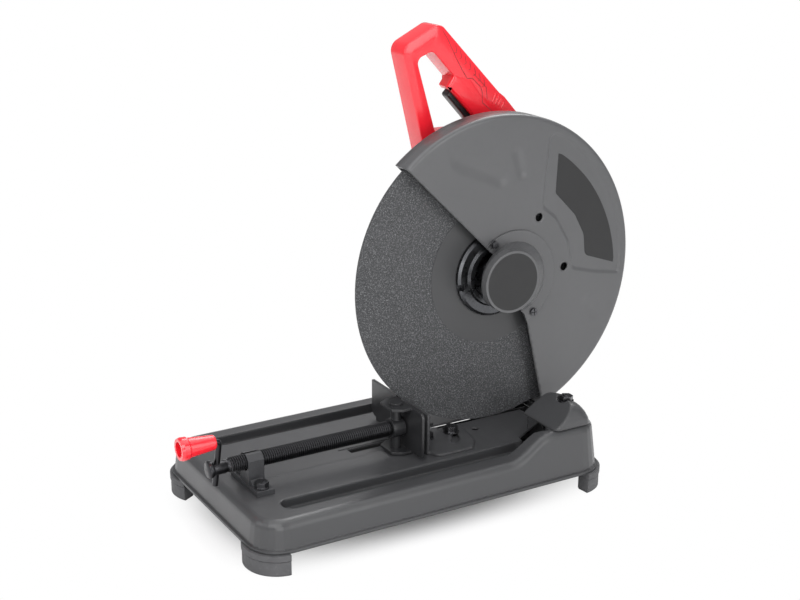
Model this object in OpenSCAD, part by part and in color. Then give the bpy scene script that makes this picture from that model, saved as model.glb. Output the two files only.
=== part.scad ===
// Bench cut-off saw: a pressed steel base with a screw vise carries a sprung cutting head
// with a 355 mm abrasive wheel, a fixed sheet guard and a D handle.
// Millimetres. +X is the open side of the wheel, +Y the hinge end, +Z up.
// The origin is on the floor, at the centre of the four feet.

/* [Base pan] */
// Width of the pan over its bottom lip
base_w = 262; // [250:1:290]
// Length of the pan over its bottom lip
base_l = 436; // [420:1:480]
// Sheet thickness of the pan
pan_wall = 2; // [1.5:0.25:3]
// Height of the pan's lower edge, which is the height of the feet
foot_h = 23.3; // [18:0.5:30]
// Height of the work deck above the floor
deck_z = 56; // [50:1:64]
// Height of the raised rear of the pan
tower_z = 79; // [76:1:84]
// How far the side walls lean in from the bottom to the top
draft = 7; // [3:0.5:9]
// Corner radius of the pan in plan
corner_r = 35; // [28:1:42]
// Rounding of the pan's upper edges
edge_r = 8; // [6:1:10]
// Width of the two long side grooves
groove_w = 24; // [18:1:28]
// Distance of each groove's middle from the centre line
groove_x = 90; // [86:1:94]
// Depth of the grooves
groove_d = 11; // [6:1:14]
// Depth of the shallow recess on each side of the cut
recess_d = 5; // [3:0.5:7]
// Half the width of that recess
recess_half = 25.6; // [20:0.5:28]

/* [Rear cover and feet] */
// Length of the loaf-shaped cover along the hinge direction
cover_len = 62; // [50:1:64]
// Depth of the cover, front to back
cover_depth = 52; // [46:1:56]
// Height of the cover above the raised pan
cover_h = 26; // [22:1:30]
// Radius of the rubber feet outside the pan's corner
foot_r = 38; // [36:0.5:42]
// Radius of the bench bolt holes through the feet
bench_r = 4.25; // [3.3:0.05:5.5]

/* [Cut and hinge] */
// Distance of the cutting plane from the centre line
cut_x = -3.3; // [-8:0.1:0]
// Width of the kerf slot in the deck
kerf_w = 10; // [8:0.5:14]
// Height of the hinge axis
pivot_z = 100; // [98:0.5:106]
// Position of the hinge axis along the base
pivot_y = 186; // [180:0.5:192]
// Distance from the hinge axis to the wheel axis
arm_len = 139.8; // [136:0.1:145]
// Angle of that distance above the rearward horizontal, head up
arm_angle = 108.95; // [104:0.05:112]
// Radius of the hinge pin
pivot_r = 6; // [5:0.5:7]
// Outer radius of the arm's hinge barrel
barrel_r = 14; // [11:0.5:14.5]

/* [Wheel and spindle] */
// Radius of the abrasive wheel
wheel_r = 177.5; // [150:0.5:177.5]
// Thickness of the wheel
wheel_t = 3.2; // [2.5:0.1:4]
// Radius of the wheel's paper label
label_r = 82.7; // [60:0.5:90]
// Radius of the outer flange
flange_r = 49.5; // [45:0.5:52]
// Radius of the spindle
spindle_r = 8; // [7:0.5:9]
// Width of the large gear
gear_w = 16; // [12:1:18]

/* [Guard] */
// Clearance between the wheel's edge and the guard's outer radius
guard_gap = 6.8; // [6:0.1:10]
// Sheet thickness of the guard
guard_wall = 1.6; // [1.2:0.1:2.5]
// Distance from the cutting plane to the guard's outer face
guard_out = 17; // [15:0.5:20]
// Distance from the cutting plane to the guard's back face
guard_back_d = 8.2; // [8:0.1:9]
// Rounding of the guard's outer edge
guard_edge_r = 5; // [3:0.5:6]
// Radius of the round hub cap
cap_r = 36; // [32:0.5:40]
// How far the hub cap stands out from the guard
cap_out = 26; // [24:0.5:30]

/* [Motor] */
// Direction of the motor axis from the spindle
motor_angle = 20; // [10:1:26]
// Outer radius of the motor housing
motor_r = 54; // [52:0.5:58]
// Wall of the motor housing
motor_wall = 4; // [3:0.5:5]
// Length of the motor housing
motor_len = 92; // [88:1:100]
// Length of the end cover
end_len = 26; // [22:1:30]
// Radius of the motor shaft
shaft_r = 6; // [5:0.5:6.5]

/* [Handle] */
// Middle of the handle across the saw
handle_x = -56; // [-60:1:-52]
// Thickness of the handle
handle_t = 32; // [28:1:36]
// Rounding of the handle's edges
handle_edge = 7; // [5:0.5:8]

/* [Vise] */
// Position of the vise screw across the base
vise_x = 28; // [26:0.5:32]
// Height of the vise screw
screw_z = 83.5; // [80:0.5:88]
// Radius of the vise screw
screw_r = 9.5; // [8:0.25:10]
// Thread pitch of the vise screw
screw_pitch = 2.5; // [2:0.5:4]
// Radius of the jaw pin
jaw_pin_r = 6; // [5:0.5:7]
// Position of the jaw pin along the base
jaw_y = -4; // [-8:0.5:-2]
// Width of the jaw to the right of the screw
jaw_right = 42; // [30:1:46]
// Height of the top of the jaw
jaw_top = 111; // [100:1:116]
// Thickness of the jaw plate
jaw_t = 3; // [2.5:0.25:4]
// Length of the crank grip
grip_len = 39; // [35:1:60]
// Height of the crank grip above the screw
crank_h = 35; // [28:1:42]
// Angle of the crank's arm from upright
crank_angle = 15; // [0:1:30]

/* [Fence] */
// Front face of the fence
fence_y = 18.2; // [16:0.2:22]
// Thickness of the fence plate
fence_t = 3.3; // [2.5:0.1:4]
// Height of the fence's top
fence_top = 103.6; // [90:0.5:112]
// Half the length of the fence
fence_half = 62; // [50:1:70]
// Radius of the arc slot about the fence pivot
arc_r = 33; // [33:0.5:36]
// Radius of the fence bolts
fence_bolt_r = 4; // [3:0.5:4.5]

/* [Hidden] */
$fn = 64;
eps = 0.01;
fit = 0.05;          // radial clearance of a running fit
gap = 0.3;           // clearance between pieces that only lie close

// pan
lip = 2;
lip_h = 3.5;
ramp_y0 = 88;
ramp_y1 = 142;
deck_half = groove_x + groove_w / 2 + 2;
tower_y = 145;
deck_end = 183;
rear_gap_x0 = -24;
rear_gap_x1 = 58;
rear_gap_z = 58.5;
foot_cx = base_w / 2 - corner_r;
foot_cy = base_l / 2 - corner_r;
gusset_t = 3;

// cut and hinge
kerf_x0 = cut_x - kerf_w / 2;
kerf_x1 = cut_x + kerf_w / 2;
wheel_y = pivot_y + arm_len * cos(arm_angle);
wheel_z = pivot_z + arm_len * sin(arm_angle);
bracket_t = 5;
lug_t = 12;
lug_in_x = -28;
spring_room = 20;
barrel_len = 31;
barrel_x1 = lug_in_x - lug_t - gap;
barrel_x0 = barrel_x1 - barrel_len;
lug_out_x = barrel_x0 - spring_room - lug_t;
lug_r = barrel_r;
stop_p = [-50, pivot_y - 24];
stop_h = 10.6;
arm_x0 = -60;
arm_x1 = lug_in_x - lug_t - gap - 1;

// spindle stack, from the cutting plane
wheel_x0 = cut_x - wheel_t / 2;
wheel_x1 = cut_x + wheel_t / 2;
flange_t = 9;
in_flange_t = 8;
in_flange_r = 36;
gear_teeth = 41;
pinion_teeth = 13;
gear_m = 2;
center_d = gear_m * (gear_teeth + pinion_teeth) / 2;
motor_y = center_d * cos(motor_angle);
motor_z = center_d * sin(motor_angle);
guard_r = wheel_r + guard_gap;

// gear housing, along X
nose_x = cut_x - guard_back_d;
house_x = -18;
house_x0 = -60;
plate_x0 = -72;
house_wall = 6;
cavity_x1 = -34;
cavity_x0 = -58;
gear_or = gear_m * (gear_teeth / 2 + 0.8);
pinion_or = gear_m * (pinion_teeth / 2 + 0.8);
cavity_r = gear_or + 2.2;
house_r = cavity_r + house_wall;
house_motor_r = motor_r + 3;
front_brg_r = 17.5;
front_brg_w = 11;
rear_brg_r = 14;
rear_brg_w = 8;
motor_brg_r = 16;
motor_brg_w = 10;
tail_brg_r = 11;
tail_brg_w = 7;
gear_x1 = cavity_x1 - 4;
gear_x0 = gear_x1 - gear_w;
motor_x1 = plate_x0;
motor_x0 = motor_x1 - motor_len;
end_x0 = motor_x0 - end_len;

// guard
guard_x1 = cut_x + guard_out;
guard_x0 = cut_x - guard_back_d;
hub_open_r = 46;
guard_screw_r = 53;
cap_x1 = guard_x1 + cap_out;
cover_c = [18, -5.5];
cover_r = 57;
cover_pivot = [46.9, -49.6];
cover_wing = [-10.6, 39.6];

// vise
block_y0 = -188;
block_y1 = -170;
block_w = 22;
block_foot = 33;
block_foot_t = 5.5;
block_top = screw_z + screw_r;
jaw_face = jaw_y + 8.5;
jaw_bottom = deck_z + 3.1;
jaw_left = vise_x - kerf_x1 - 2;
tab_front = 12.5;
hub_y0 = -229.5;
hub_y1 = -206;
hub_r = 8;
rod_r = 3.2;
rod_y = hub_y0 + 10.5;
rod_tail = 22;

// fence
fence_pivot = [24, 38.5];
fence_foot_end = 90;
arc_bolt = [fence_pivot[0], fence_pivot[1] + arc_r];
spare_hole = [fence_pivot[0], fence_pivot[1] + 2 * arc_r];

// ---------- shared shapes ----------

// cylinder along X from x0 to x1
module x_cyl(r, x0, x1) {
    translate([x0, 0, 0]) rotate([0, 90, 0]) cylinder(r = r, h = x1 - x0);
}

// ring along X
module x_ring(r_out, r_in, x0, x1) {
    difference() {
        x_cyl(r_out, x0, x1);
        x_cyl(r_in, x0 - 1, x1 + 1);
    }
}

// cylinder along Y from y0 to y1
module y_cyl(r, y0, y1) {
    translate([0, y1, 0]) rotate([90, 0, 0]) cylinder(r = r, h = y1 - y0);
}

// a Y-Z outline pushed along X from x0 to x1
module x_plate(x0, x1) {
    translate([x0, 0, 0]) rotate([90, 0, 90]) linear_extrude(x1 - x0) children();
}

// the spindle axis, the motor axis and the hinge axis, each as a local frame
module at_spindle() { translate([0, wheel_y, wheel_z]) children(); }
module at_motor() { at_spindle() translate([0, motor_y, motor_z]) children(); }
module at_pivot() { translate([0, pivot_y, pivot_z]) children(); }

// hexagon-head bolt standing on z = 0, with its washer and its shank below
module hex_bolt(r, af, head_h, shank, washer_r = 0, washer_t = 1.5) {
    if (washer_r > 0) cylinder(r = washer_r, h = washer_t);
    translate([0, 0, washer_r > 0 ? washer_t : 0]) cylinder(d = af / cos(30), h = head_h, $fn = 6);
    if (shank > 0) translate([0, 0, -shank]) cylinder(r = r, h = shank + 0.5);
}

// pan-head screw pointing along -X with its head's back at x = 0
module pan_screw_x(r, head_r, head_h, shank) {
    difference() {
        union() {
            x_cyl(head_r, 0, head_h);
            x_cyl(r, -shank, 0.5);
        }
        translate([head_h - 1.2, -head_r, -0.6]) cube([2, 2 * head_r, 1.2]);
        translate([head_h - 1.2, -0.6, -head_r]) cube([2, 1.2, 2 * head_r]);
    }
}

// the same two-by-two places, mirrored about both centre lines
module four(x, y) {
    for (sx = [-1, 1], sy = [-1, 1]) translate([sx * x, sy * y, 0]) children();
}

function involute(base_r, t) = [base_r * (cos(t) + t * PI / 180 * sin(t)),
                                base_r * (sin(t) - t * PI / 180 * cos(t))];
function turned(p, a) = [p[0] * cos(a) - p[1] * sin(a), p[0] * sin(a) + p[1] * cos(a)];

// spur gear outline with involute flanks, one tooth along the first axis
module gear_outline(teeth, m) {
    pitch = m * teeth / 2;
    base_r = pitch * cos(20);
    tip = pitch + 0.8 * m;
    root = pitch - 1.1 * m;
    t_tip = sqrt(pow(tip / base_r, 2) - 1) * 180 / PI;
    t_root = root > base_r ? sqrt(pow(root / base_r, 2) - 1) * 180 / PI : 0;
    t_pitch = sqrt(pow(pitch / base_r, 2) - 1) * 180 / PI;
    at_pitch = involute(base_r, t_pitch);
    lean = 90 / teeth - 0.06 * 180 / PI / pitch + atan2(at_pitch[1], at_pitch[0]);
    steps = 4;
    flank = [for (i = [0:steps]) turned(involute(base_r, t_root + (t_tip - t_root) * i / steps), -lean)];
    foot = flank[0] * (root - 0.02) / norm(flank[0]);
    half = concat([foot], flank);
    tooth = concat(half, [for (i = [steps + 1:-1:0]) [half[i][0], -half[i][1]]]);
    polygon([for (k = [0:teeth - 1], p = tooth) turned(p, k * 360 / teeth)]);
}

function unit(v) = v / norm(v);

// rounds an outline's corners; each point carries its own radius
function round_corners(pts, n = 4) = let(m = len(pts)) [for (i = [0:m - 1])
    let(p = [pts[i][0], pts[i][1]], before = pts[(i + m - 1) % m], after = pts[(i + 1) % m], r = pts[i][2],
        u = unit([before[0], before[1]] - p), v = unit([after[0], after[1]] - p), half = acos(u * v) / 2,
        c = p + unit(u + v) * r / sin(half), first = p + u * r / tan(half) - c,
        sweep = sign(cross(-u, v)) * (180 - 2 * half))
    for (k = [0:n]) c + turned(first, sweep * k / n)];

// moves every edge of a counter-clockwise outline inwards
function inset_by(pts, d) = let(m = len(pts)) [for (i = [0:m - 1])
    let(a = unit(pts[i] - pts[(i + m - 1) % m]), b = unit(pts[(i + 1) % m] - pts[i]),
        na = [-a[1], a[0]], k = unit(na + [-b[1], b[0]]))
    pts[i] + k * d / (k * na)];

function side_faces(n, m) = [for (j = [0:m - 2], i = [0:n - 1])
    let(a = j * n + i, b = j * n + (i + 1) % n)
    each [[a, a + n, b + n], [a, b + n, b]]];

// skin over equal rings, each counter-clockwise as seen from the last one's side
module loft(rings) {
    n = len(rings[0]);
    m = len(rings);
    polyhedron(points = [for (r = rings) each r],
        faces = concat([[for (i = [0:n - 1]) i]], side_faces(n, m),
            [[for (i = [n - 1:-1:0]) (m - 1) * n + i]]));
}

// levels of a plate with one square face and one rounded face: position along X and inset
function edge_levels(flat_x, round_x, r, n = 4) = let(s = sign(round_x - flat_x), up = concat([[flat_x, 0]],
    [for (k = [0:n]) [round_x - s * r * (1 - sin(90 * k / n)), r * (1 - cos(90 * k / n))]]))
    s > 0 ? up : [for (i = [len(up) - 1:-1:0]) up[i]];

// an outline in Y and Z, skinned over levels along X
module x_loft(levels, outline) {
    loft([for (l = levels) [for (p = inset_by(outline, l[1])) [l[0], p[0], p[1]]]]);
}

// ---------- base ----------

// rounded rectangle, drawn from its full width and length
module round_rect(w, l, r) {
    hull() for (sx = [-1, 1], sy = [-1, 1]) translate([sx * (w / 2 - r),
        sy * (l / 2 - r)]) circle(r = r, $fn = 32);
}

function ease(t) = 3 * t * t - 2 * t * t * t;
function share(v, lo, hi) = min(max((v - lo) / (hi - lo), 0), 1);

// height of the pan's edge along its length: low deck, S-shaped ramp, raised rear
function top_at(y) = deck_z + (tower_z - deck_z) * ease(share(y, ramp_y0, ramp_y1));

// places along the right side, front to rear: centre of the corner and direction outwards
pan_hw = base_w / 2 - lip;
pan_hl = base_l / 2 - lip;
pan_r = corner_r - lip;
pan_places = concat(
    [for (a = [-90:15:0]) [pan_hw - pan_r, -pan_hl + pan_r, cos(a), sin(a)]],
    [for (i = [0:8]) [pan_hw - pan_r, ramp_y0 + (ramp_y1 - ramp_y0) * i / 8, 1, 0]],
    [for (a = [0:15:90]) [pan_hw - pan_r, pan_hl - pan_r, cos(a), sin(a)]]);

function pan_point(p, shrink, a, low) = let(
    z = low ? foot_h - shrink : top_at(p[1]) - edge_r + (edge_r - shrink) * sin(a),
    inset = (z - foot_h) * draft / (tower_z - foot_h) + edge_r - (edge_r - shrink) * cos(a))
    [p[0] + p[2] * (pan_r - inset), p[1] + p[3] * (pan_r - inset), z];

function pan_ring(shrink, a, low) = let(right = [for (p = pan_places) pan_point(p, shrink, a, low)])
    concat(right, [for (i = [len(right) - 1:-1:0]) [-right[i][0], right[i][1], right[i][2]]]);

// the pressed form with its upper edge rounded; shrink = 0 outside, pan_wall inside
module pan_form(shrink) {
    rings = concat([pan_ring(shrink, 0, true)], [for (a = [0:22.5:90]) pan_ring(shrink, a, false)]);
    n = len(rings[0]);
    m = len(rings);
    top = (m - 1) * n;
    polyhedron(points = [for (r = rings) each r],
        faces = concat([[for (i = [0:n - 1]) i]], side_faces(n, m),
            [for (k = [0:n / 2 - 2]) [top + n - 1 - k, top + n - 2 - k, top + k + 1, top + k]]));
}

// plan of the flat deck and of the gap for the wheel, which the rear leaves free
module deck_plan(grow) {
    offset(delta = grow) polygon([
        [-deck_half, ramp_y0 - 20], [deck_half, ramp_y0 - 20], [deck_half, 130], [deck_half + 9,
            tower_y - 1],
        [rear_gap_x1, tower_y + 9], [rear_gap_x1, base_l], [rear_gap_x0, base_l], [rear_gap_x0,
            tower_y + 9],
        [-deck_half - 9, tower_y - 1], [-deck_half, 130]]);
}

// one groove's plan; its rear end runs into the side opening
module groove_plan(grow) {
    y0 = -base_l / 2 + 43;
    y1 = 134;
    translate([0, y0 + groove_w / 2]) circle(r = groove_w / 2 + grow);
    translate([-groove_w / 2 - grow, y0 + groove_w / 2]) square([groove_w + 2 * grow,
        y1 - y0 - groove_w / 2]);
}

// side opening between deck, rim and tower, right-hand side
module side_opening() {
    polygon([[groove_x - groove_w / 2 - 8, 134], [groove_x + groove_w / 2, 128], [deck_half + 6,
        tower_y - 3],
             [48, deck_end - 2], [43, deck_end - 2]]);
}

module trough(grow, depth) {
    translate([0, 0, deck_z - depth - grow]) linear_extrude(depth + grow) children();
}

module base_pan() color("#4a4b4d") union() {
    pan_body();
    // stiffening walls across the inside, behind the deck
    for (w = cross_walls) translate([0, deck_end + 1 + pan_wall, 0]) rotate([90, 0, 0])
        linear_extrude(pan_wall) polygon(w);
}

cross_z = foot_h + 1;
cross_top = tower_z - 1.5;
cross_x1 = foot_cx - 22;
cross_walls = [
    [[16, cross_z], [cross_x1, cross_z], [cross_x1, cross_top], [60, cross_top], [60, 53], [16, 53]],
    [[-14, cross_z], [-cross_x1, cross_z], [-cross_x1, cross_top], [-26, cross_top], [-26, 53], [-14, 53]]];

module pan_body() difference() {
    union() {
        difference() {
            pan_form(0);
            translate([0, 0, deck_z]) linear_extrude(tower_z) deck_plan(0);
            difference() {
                pan_form(pan_wall);
                translate([0, 0, deck_z - pan_wall]) linear_extrude(tower_z) deck_plan(pan_wall);
            }
        }
        // bottom lip
        translate([0, 0, foot_h]) linear_extrude(lip_h) difference() {
            round_rect(base_w, base_l, corner_r);
            round_rect(base_w - 4 * lip, base_l - 4 * lip, corner_r - 2 * lip);
        }
        // walls of the grooves and of the recess
        for (s = [-1, 1]) trough(pan_wall, groove_d) translate([s * groove_x, 0]) groove_plan(pan_wall);
        trough(pan_wall, recess_d) translate([cut_x - recess_half - pan_wall, -168])
            square([2 * (recess_half + pan_wall), 178]);
        // corner gussets that the feet are screwed to
        intersection() {
            four(foot_cx, foot_cy) translate([0, 0, foot_h]) cylinder(r = corner_r - lip, h = gusset_t);
            translate([0, 0, foot_h]) linear_extrude(gusset_t)
                round_rect(base_w - 3 * lip, base_l - 3 * lip, corner_r - lip);
        }
    }
    translate([-base_w, -base_l, foot_h - 60]) cube([2 * base_w, 2 * base_l, 60]);
    for (s = [-1, 1]) translate([s * groove_x, 0,
        deck_z - groove_d]) linear_extrude(groove_d + 1) groove_plan(0);
    translate([cut_x - recess_half, -166, deck_z - recess_d]) cube([2 * recess_half, 174, recess_d + 1]);
    // kerf slot, side openings and the gap behind the deck
    translate([kerf_x0, -46, foot_h - 1]) cube([kerf_w, deck_end + 46, tower_z]);
    for (s = [0, 1]) mirror([s, 0, 0]) translate([0, 0, foot_h + 8]) linear_extrude(tower_z) side_opening();
    translate([rear_gap_x0, deck_end, rear_gap_z]) cube([rear_gap_x1 - rear_gap_x0, base_l, tower_z]);
    translate([rear_gap_x0, deck_end, foot_h + 8]) cube([rear_gap_x1 - rear_gap_x0, 25, tower_z]);
    // bolt holes
    four(foot_cx, foot_cy) translate([0, 0, foot_h - 1]) cylinder(r = bench_r, h = gusset_t + 2);
    four(foot_cx, foot_cy) for (s = [-1, 1]) translate([s * 14, 0, foot_h - 1]) cylinder(r = 2.1,
        h = gusset_t + 2);
    for (p = [fence_pivot, arc_bolt, spare_hole]) translate([p[0], p[1], deck_z - 8])
        cylinder(r = fence_bolt_r + fit, h = 9);
    for (p = left_bolts) translate([p[0], p[1], deck_z - 8]) cylinder(r = fence_bolt_r + fit, h = 9);
    for (s = [-1, 1]) translate([vise_x + s * block_bolt_x, (block_y0 + block_y1) / 2, deck_z - 8])
        cylinder(r = 4 + fit, h = 9);
    for (p = concat(bracket_holes, flush_holes, [stop_p])) translate([p[0], p[1], tower_z - 8])
        cylinder(r = 4 + fit, h = 9);
    translate([cover_bolt_p[0], cover_bolt_p[1], tower_z - 8]) cylinder(r = 4 + fit, h = 9);
}

block_bolt_x = 23;
left_bolts = [[-30, 48], [-52, 48]];
bracket_holes = [[-66, pivot_y - 18], [-82, pivot_y - 18]];
flush_holes = [[-52, pivot_y + 7], [-76, pivot_y + 7]];
bracket_y0 = pivot_y - 34;
bracket_y1 = base_l / 2 - lip - draft - edge_r;
cover_x0 = base_w / 2 - draft - lip - 1 - cover_len;
cover_y0 = tower_y + 1;
cover_bolt_p = [cover_x0 + 33, cover_y0 + 36];
cover_top = tower_z + cover_h;

// sections of the cover: height, then how far the front, back, left and right have come in
cover_levels = [[0, 0, 0, 0, 0, 5], [0.45, 0.26, 0.07, 0.12, 0.06, 7], [0.68, 0.38, 0.13, 0.18, 0.1, 7],
                [0.86, 0.49, 0.2, 0.23, 0.14, 6], [0.95, 0.56, 0.26, 0.27, 0.18, 4], [1, 0.6, 0.3, 0.31,
                    0.23, 2]];

module rear_cover() color("#4a4b4d") difference() {
    loft([for (l = cover_levels) let(x0 = cover_x0 + l[3] * cover_len,
        x1 = cover_x0 + (1 - l[4]) * cover_len,
            y0 = cover_y0 + l[1] * cover_depth, y1 = cover_y0 + (1 - l[2]) * cover_depth, r = l[5])
        [for (p = round_corners([[x0, y0, r], [x1, y0, r], [x1, y1, r], [x0, y1, r]]))
            [p[0], p[1], tower_z + l[0] * cover_h]]]);
    translate([cover_bolt_p[0], cover_bolt_p[1], cover_top - 6]) cylinder(r = 10, h = 10);
    translate([cover_bolt_p[0], cover_bolt_p[1], tower_z - 1]) cylinder(r = 4 + fit, h = cover_h);
}

module cover_bolt() color("#8b8d90") translate([cover_bolt_p[0], cover_bolt_p[1], cover_top - 6]) {
    cylinder(r = 8.5, h = 1.5);
    translate([0, 0, 1]) cylinder(d = 13 / cos(30), h = 6, $fn = 6);
    translate([0, 0, -cover_h + 6 - pan_wall - 6]) cylinder(r = 4, h = cover_h + 10);
}

// a corner block that wraps round the pan's corner, with a step near its top
module rubber_foot() {
    difference() {
        union() {
            translate([0, 0, 0]) foot_block(foot_r - 1, foot_h - 7);
            translate([0, 0, foot_h - 7]) foot_block(foot_r, 7 - 0.01);
        }
        translate([0, 0, -1]) cylinder(r = bench_r, h = foot_h + 2);
        for (s = [-1, 1]) translate([s * 14, 0, -1]) cylinder(r = 2.1, h = foot_h + 2);
        for (s = [-1, 1]) translate([s * 14, 0, -1]) cylinder(r = 4.5, h = 6);
    }
}

module foot_block(r, h) {
    linear_extrude(h) difference() {
        union() {
            intersection() {
                circle(r = r);
                translate([-12, -12]) square(r + 12);
            }
            circle(r = 12);
            translate([-20, -9]) square([20, 18]);
        }
        translate([-60, -60]) square([120, 60 - 12]);
        translate([-60, -60]) square([60 - 20, 120]);
    }
}

module rubber_feet() color("#55565a")
    for (sx = [0, 1], sy = [0, 1]) mirror([sx, 0, 0]) mirror([0, sy, 0])
        translate([foot_cx, foot_cy, 0]) rubber_foot();

module foot_screws() color("#8b8d90")
    four(foot_cx, foot_cy) for (s = [-1, 1]) translate([s * 14, 0, 5 - 2.5]) {
        cylinder(r = 4, h = 2.5);
        cylinder(r = 2.05, h = foot_h + gusset_t + 2);
    }

// ---------- vise ----------

module spindle_block() color("#3b3c3e") difference() {
    union() {
        x_plate_y(block_y0, block_y1) polygon([
            [vise_x - block_w / 2, deck_z], [vise_x + block_w / 2, deck_z],
            [vise_x + block_w / 2, block_top - 6], [vise_x + block_w / 4, block_top],
            [vise_x - block_w / 4, block_top], [vise_x - block_w / 2, block_top - 6]]);
        translate([vise_x - block_foot, block_y0 - 1, deck_z]) cube([2 * block_foot,
            block_y1 - block_y0 + 2, block_foot_t]);
        for (s = [-1, 1]) translate([vise_x + s * (block_w / 2 - 0.5), block_y0 + 2,
            deck_z + block_foot_t - 0.5])
            rotate([90, 0, 0]) mirror([0, 0, 1]) linear_extrude(block_y1 - block_y0 - 4)
                polygon([[0, 0], [s * 4.5, 0], [0, 6]]);
    }
    translate([vise_x, 0, screw_z]) y_cyl(screw_r + fit, block_y0 - 5, block_y1 + 5);
    for (s = [-1, 1]) translate([vise_x + s * block_bolt_x, (block_y0 + block_y1) / 2, deck_z - 1])
        cylinder(r = 4 + fit, h = 12);
}

// an X-Z outline pushed along Y from y0 to y1
module x_plate_y(y0, y1) {
    translate([0, y1, 0]) rotate([90, 0, 0]) linear_extrude(y1 - y0) children();
}

module block_bolts() color("#6f7174")
    for (s = [-1, 1]) translate([vise_x + s * block_bolt_x, (block_y0 + block_y1) / 2,
        deck_z + block_foot_t])
        hex_bolt(4, 13, 5.3, block_foot_t + 6, 8);

module jaw_pin() color("#2c2d2f") difference() {
    union() {
        translate([vise_x, jaw_y, jaw_bottom - 2]) cylinder(r = jaw_pin_r, h = jaw_top - jaw_bottom + 4);
        translate([vise_x, jaw_y, jaw_top]) cylinder(r = jaw_pin_r + 1.5, h = 2.5);
        // nut that takes the end of the screw
        translate([vise_x, 0, screw_z]) y_cyl(11, jaw_y - 8, jaw_y + 7);
    }
    translate([vise_x, 0, screw_z]) y_cyl(7 + fit, jaw_y - 10, jaw_y + 5);
}

module tab(z) {
    translate([vise_x, 0, z]) linear_extrude(jaw_t) polygon([
        [-20, jaw_face + 1], [-19, jaw_y - 2], [-tab_front, jaw_y - 12.5], [tab_front, jaw_y - 12.5],
        [19, jaw_y - 2], [20, jaw_face + 1]]);
}

module vise_jaw() color("#2f3032") difference() {
    union() {
        translate([vise_x - jaw_left, jaw_face, jaw_bottom]) cube([jaw_left + jaw_right, jaw_t,
            jaw_top - jaw_bottom]);
        tab(jaw_bottom - 2);
        tab(jaw_top - jaw_t);
    }
    translate([vise_x, jaw_y, 0]) cylinder(r = jaw_pin_r + fit, h = 200);
    // rounded top corners
    for (s = [-1, 1]) translate([s > 0 ? vise_x + jaw_right : vise_x - jaw_left, jaw_face - 1, jaw_top])
        x_plate_y(0, jaw_t + 2) difference() {
            square(12, center = true);
            translate([-s * 6, -6]) circle(r = 6);
        }
}

module vise_screw() color("#2c2d2f") difference() {
    translate([vise_x, 0, screw_z]) union() {
        // thread length with a run-out groove next to the hub
        y_cyl(screw_r, hub_y1 + screw_pitch, jaw_y - 9);
        y_cyl(screw_r - 0.55 * screw_pitch, hub_y1 - 0.5, hub_y1 + screw_pitch + 0.5);
        y_cyl(7, jaw_y - 9.5, jaw_y + 4);
        y_cyl(hub_r, hub_y0, hub_y1 + 0.5);
    }
    at_crank() translate([0, 0, -15]) cylinder(r = rod_r + fit, h = 30);
}

// the crank's own frame: its arm points along +Z and its grip towards -Y
module at_crank() { translate([vise_x, rod_y, screw_z]) rotate([0, crank_angle, 0]) children(); }

module crank_rod() color("#3d3e40") at_crank() {
    bend = 4.5;
    translate([0, 0, -rod_tail]) cylinder(r = rod_r, h = crank_h + rod_tail - bend);
    translate([0, -bend, crank_h - bend]) rotate([90, 0, 90])
        rotate_extrude(angle = 90) translate([bend, 0]) circle(r = rod_r, $fn = 32);
    translate([0, 0, crank_h]) y_cyl(rod_r, -bend - grip_len + 8, -bend);
}

module crank_grip() color("#d8242f") at_crank() translate([0, -5, crank_h]) rotate([90, 0, 0])
    rotate_extrude() polygon([
        [rod_r + fit, 0], [7, 0], [7.8, 1.2], [10.6, grip_len - 10], [12, grip_len - 8.5], [12.4,
            grip_len - 3],
        [11.4, grip_len], [8, grip_len], [8, grip_len - 6], [rod_r + 2, grip_len - 6], [rod_r + fit,
            grip_len - 10]]);

// ---------- fence ----------

// the fixed half of the fence, left of the cut
module fence_left() color("#2f3032") difference() {
    x1 = kerf_x0 - 0.5;
    x0 = cut_x - fence_half;
    union() {
        translate([x0, fence_y, deck_z + 4]) cube([x1 - x0, fence_t, fence_top - deck_z - 4]);
        translate([x0 + 8, fence_y, deck_z]) cube([x1 - x0 - 8, fence_foot_end - 22 - fence_y, fence_t]);
        translate([x0 + 8, fence_y, deck_z]) cube([x1 - x0 - 8, fence_t, 8]);
    }
    translate([x0, fence_y - 1, deck_z + 4]) x_plate_y(0, fence_t + 2) difference() {
        square(20, center = true);
        translate([10, 10]) circle(r = 10);
    }
    for (p = left_bolts) translate([p[0], p[1], deck_z - 1]) cylinder(r = fence_bolt_r + fit, h = 12);
}

module fence_left_bolts() color("#6f7174")
    for (p = left_bolts) translate([p[0], p[1], deck_z + fence_t])
        hex_bolt(fence_bolt_r, 13, 5.3, fence_t + 6, 8);

// plan of the swinging half's foot, with its arc slot and pivot hole
module fence_foot() {
    x0 = kerf_x1 + 0.5;
    x1 = cut_x + fence_half;
    difference() {
        polygon(round_corners([[x0 + 0.4, fence_y + 0.4, 0.5], [x1 - 0.4, fence_y + 0.4, 0.5],
            [x1 + 1, fence_y + 3, 3], [x1 + 12, fence_y + 9, 9], [x1 + 12, fence_foot_end - 19, 3],
            [x1 - 3, fence_foot_end - 7, 4], [x0 + 10, fence_foot_end + 2, 4],
            [x0 + 0.4, fence_foot_end - 30, 5]]));
        translate(fence_pivot) circle(r = fence_bolt_r + fit);
        arc_slot(43, 118);
    }
}

// slot along the arc that the clamp bolt follows, between two directions
module arc_slot(a0, a1) {
    w = fence_bolt_r + 0.4;
    translate(fence_pivot) {
        difference() {
            circle(r = arc_r + w);
            circle(r = arc_r - w);
            rotate(a0) translate([-60, -120]) square(120);
            rotate(a1) translate([-60, 0]) square(120);
        }
        for (a = [a0, a1]) rotate(a) translate([arc_r, 0]) circle(r = w + 0.06);
    }
}

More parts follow.
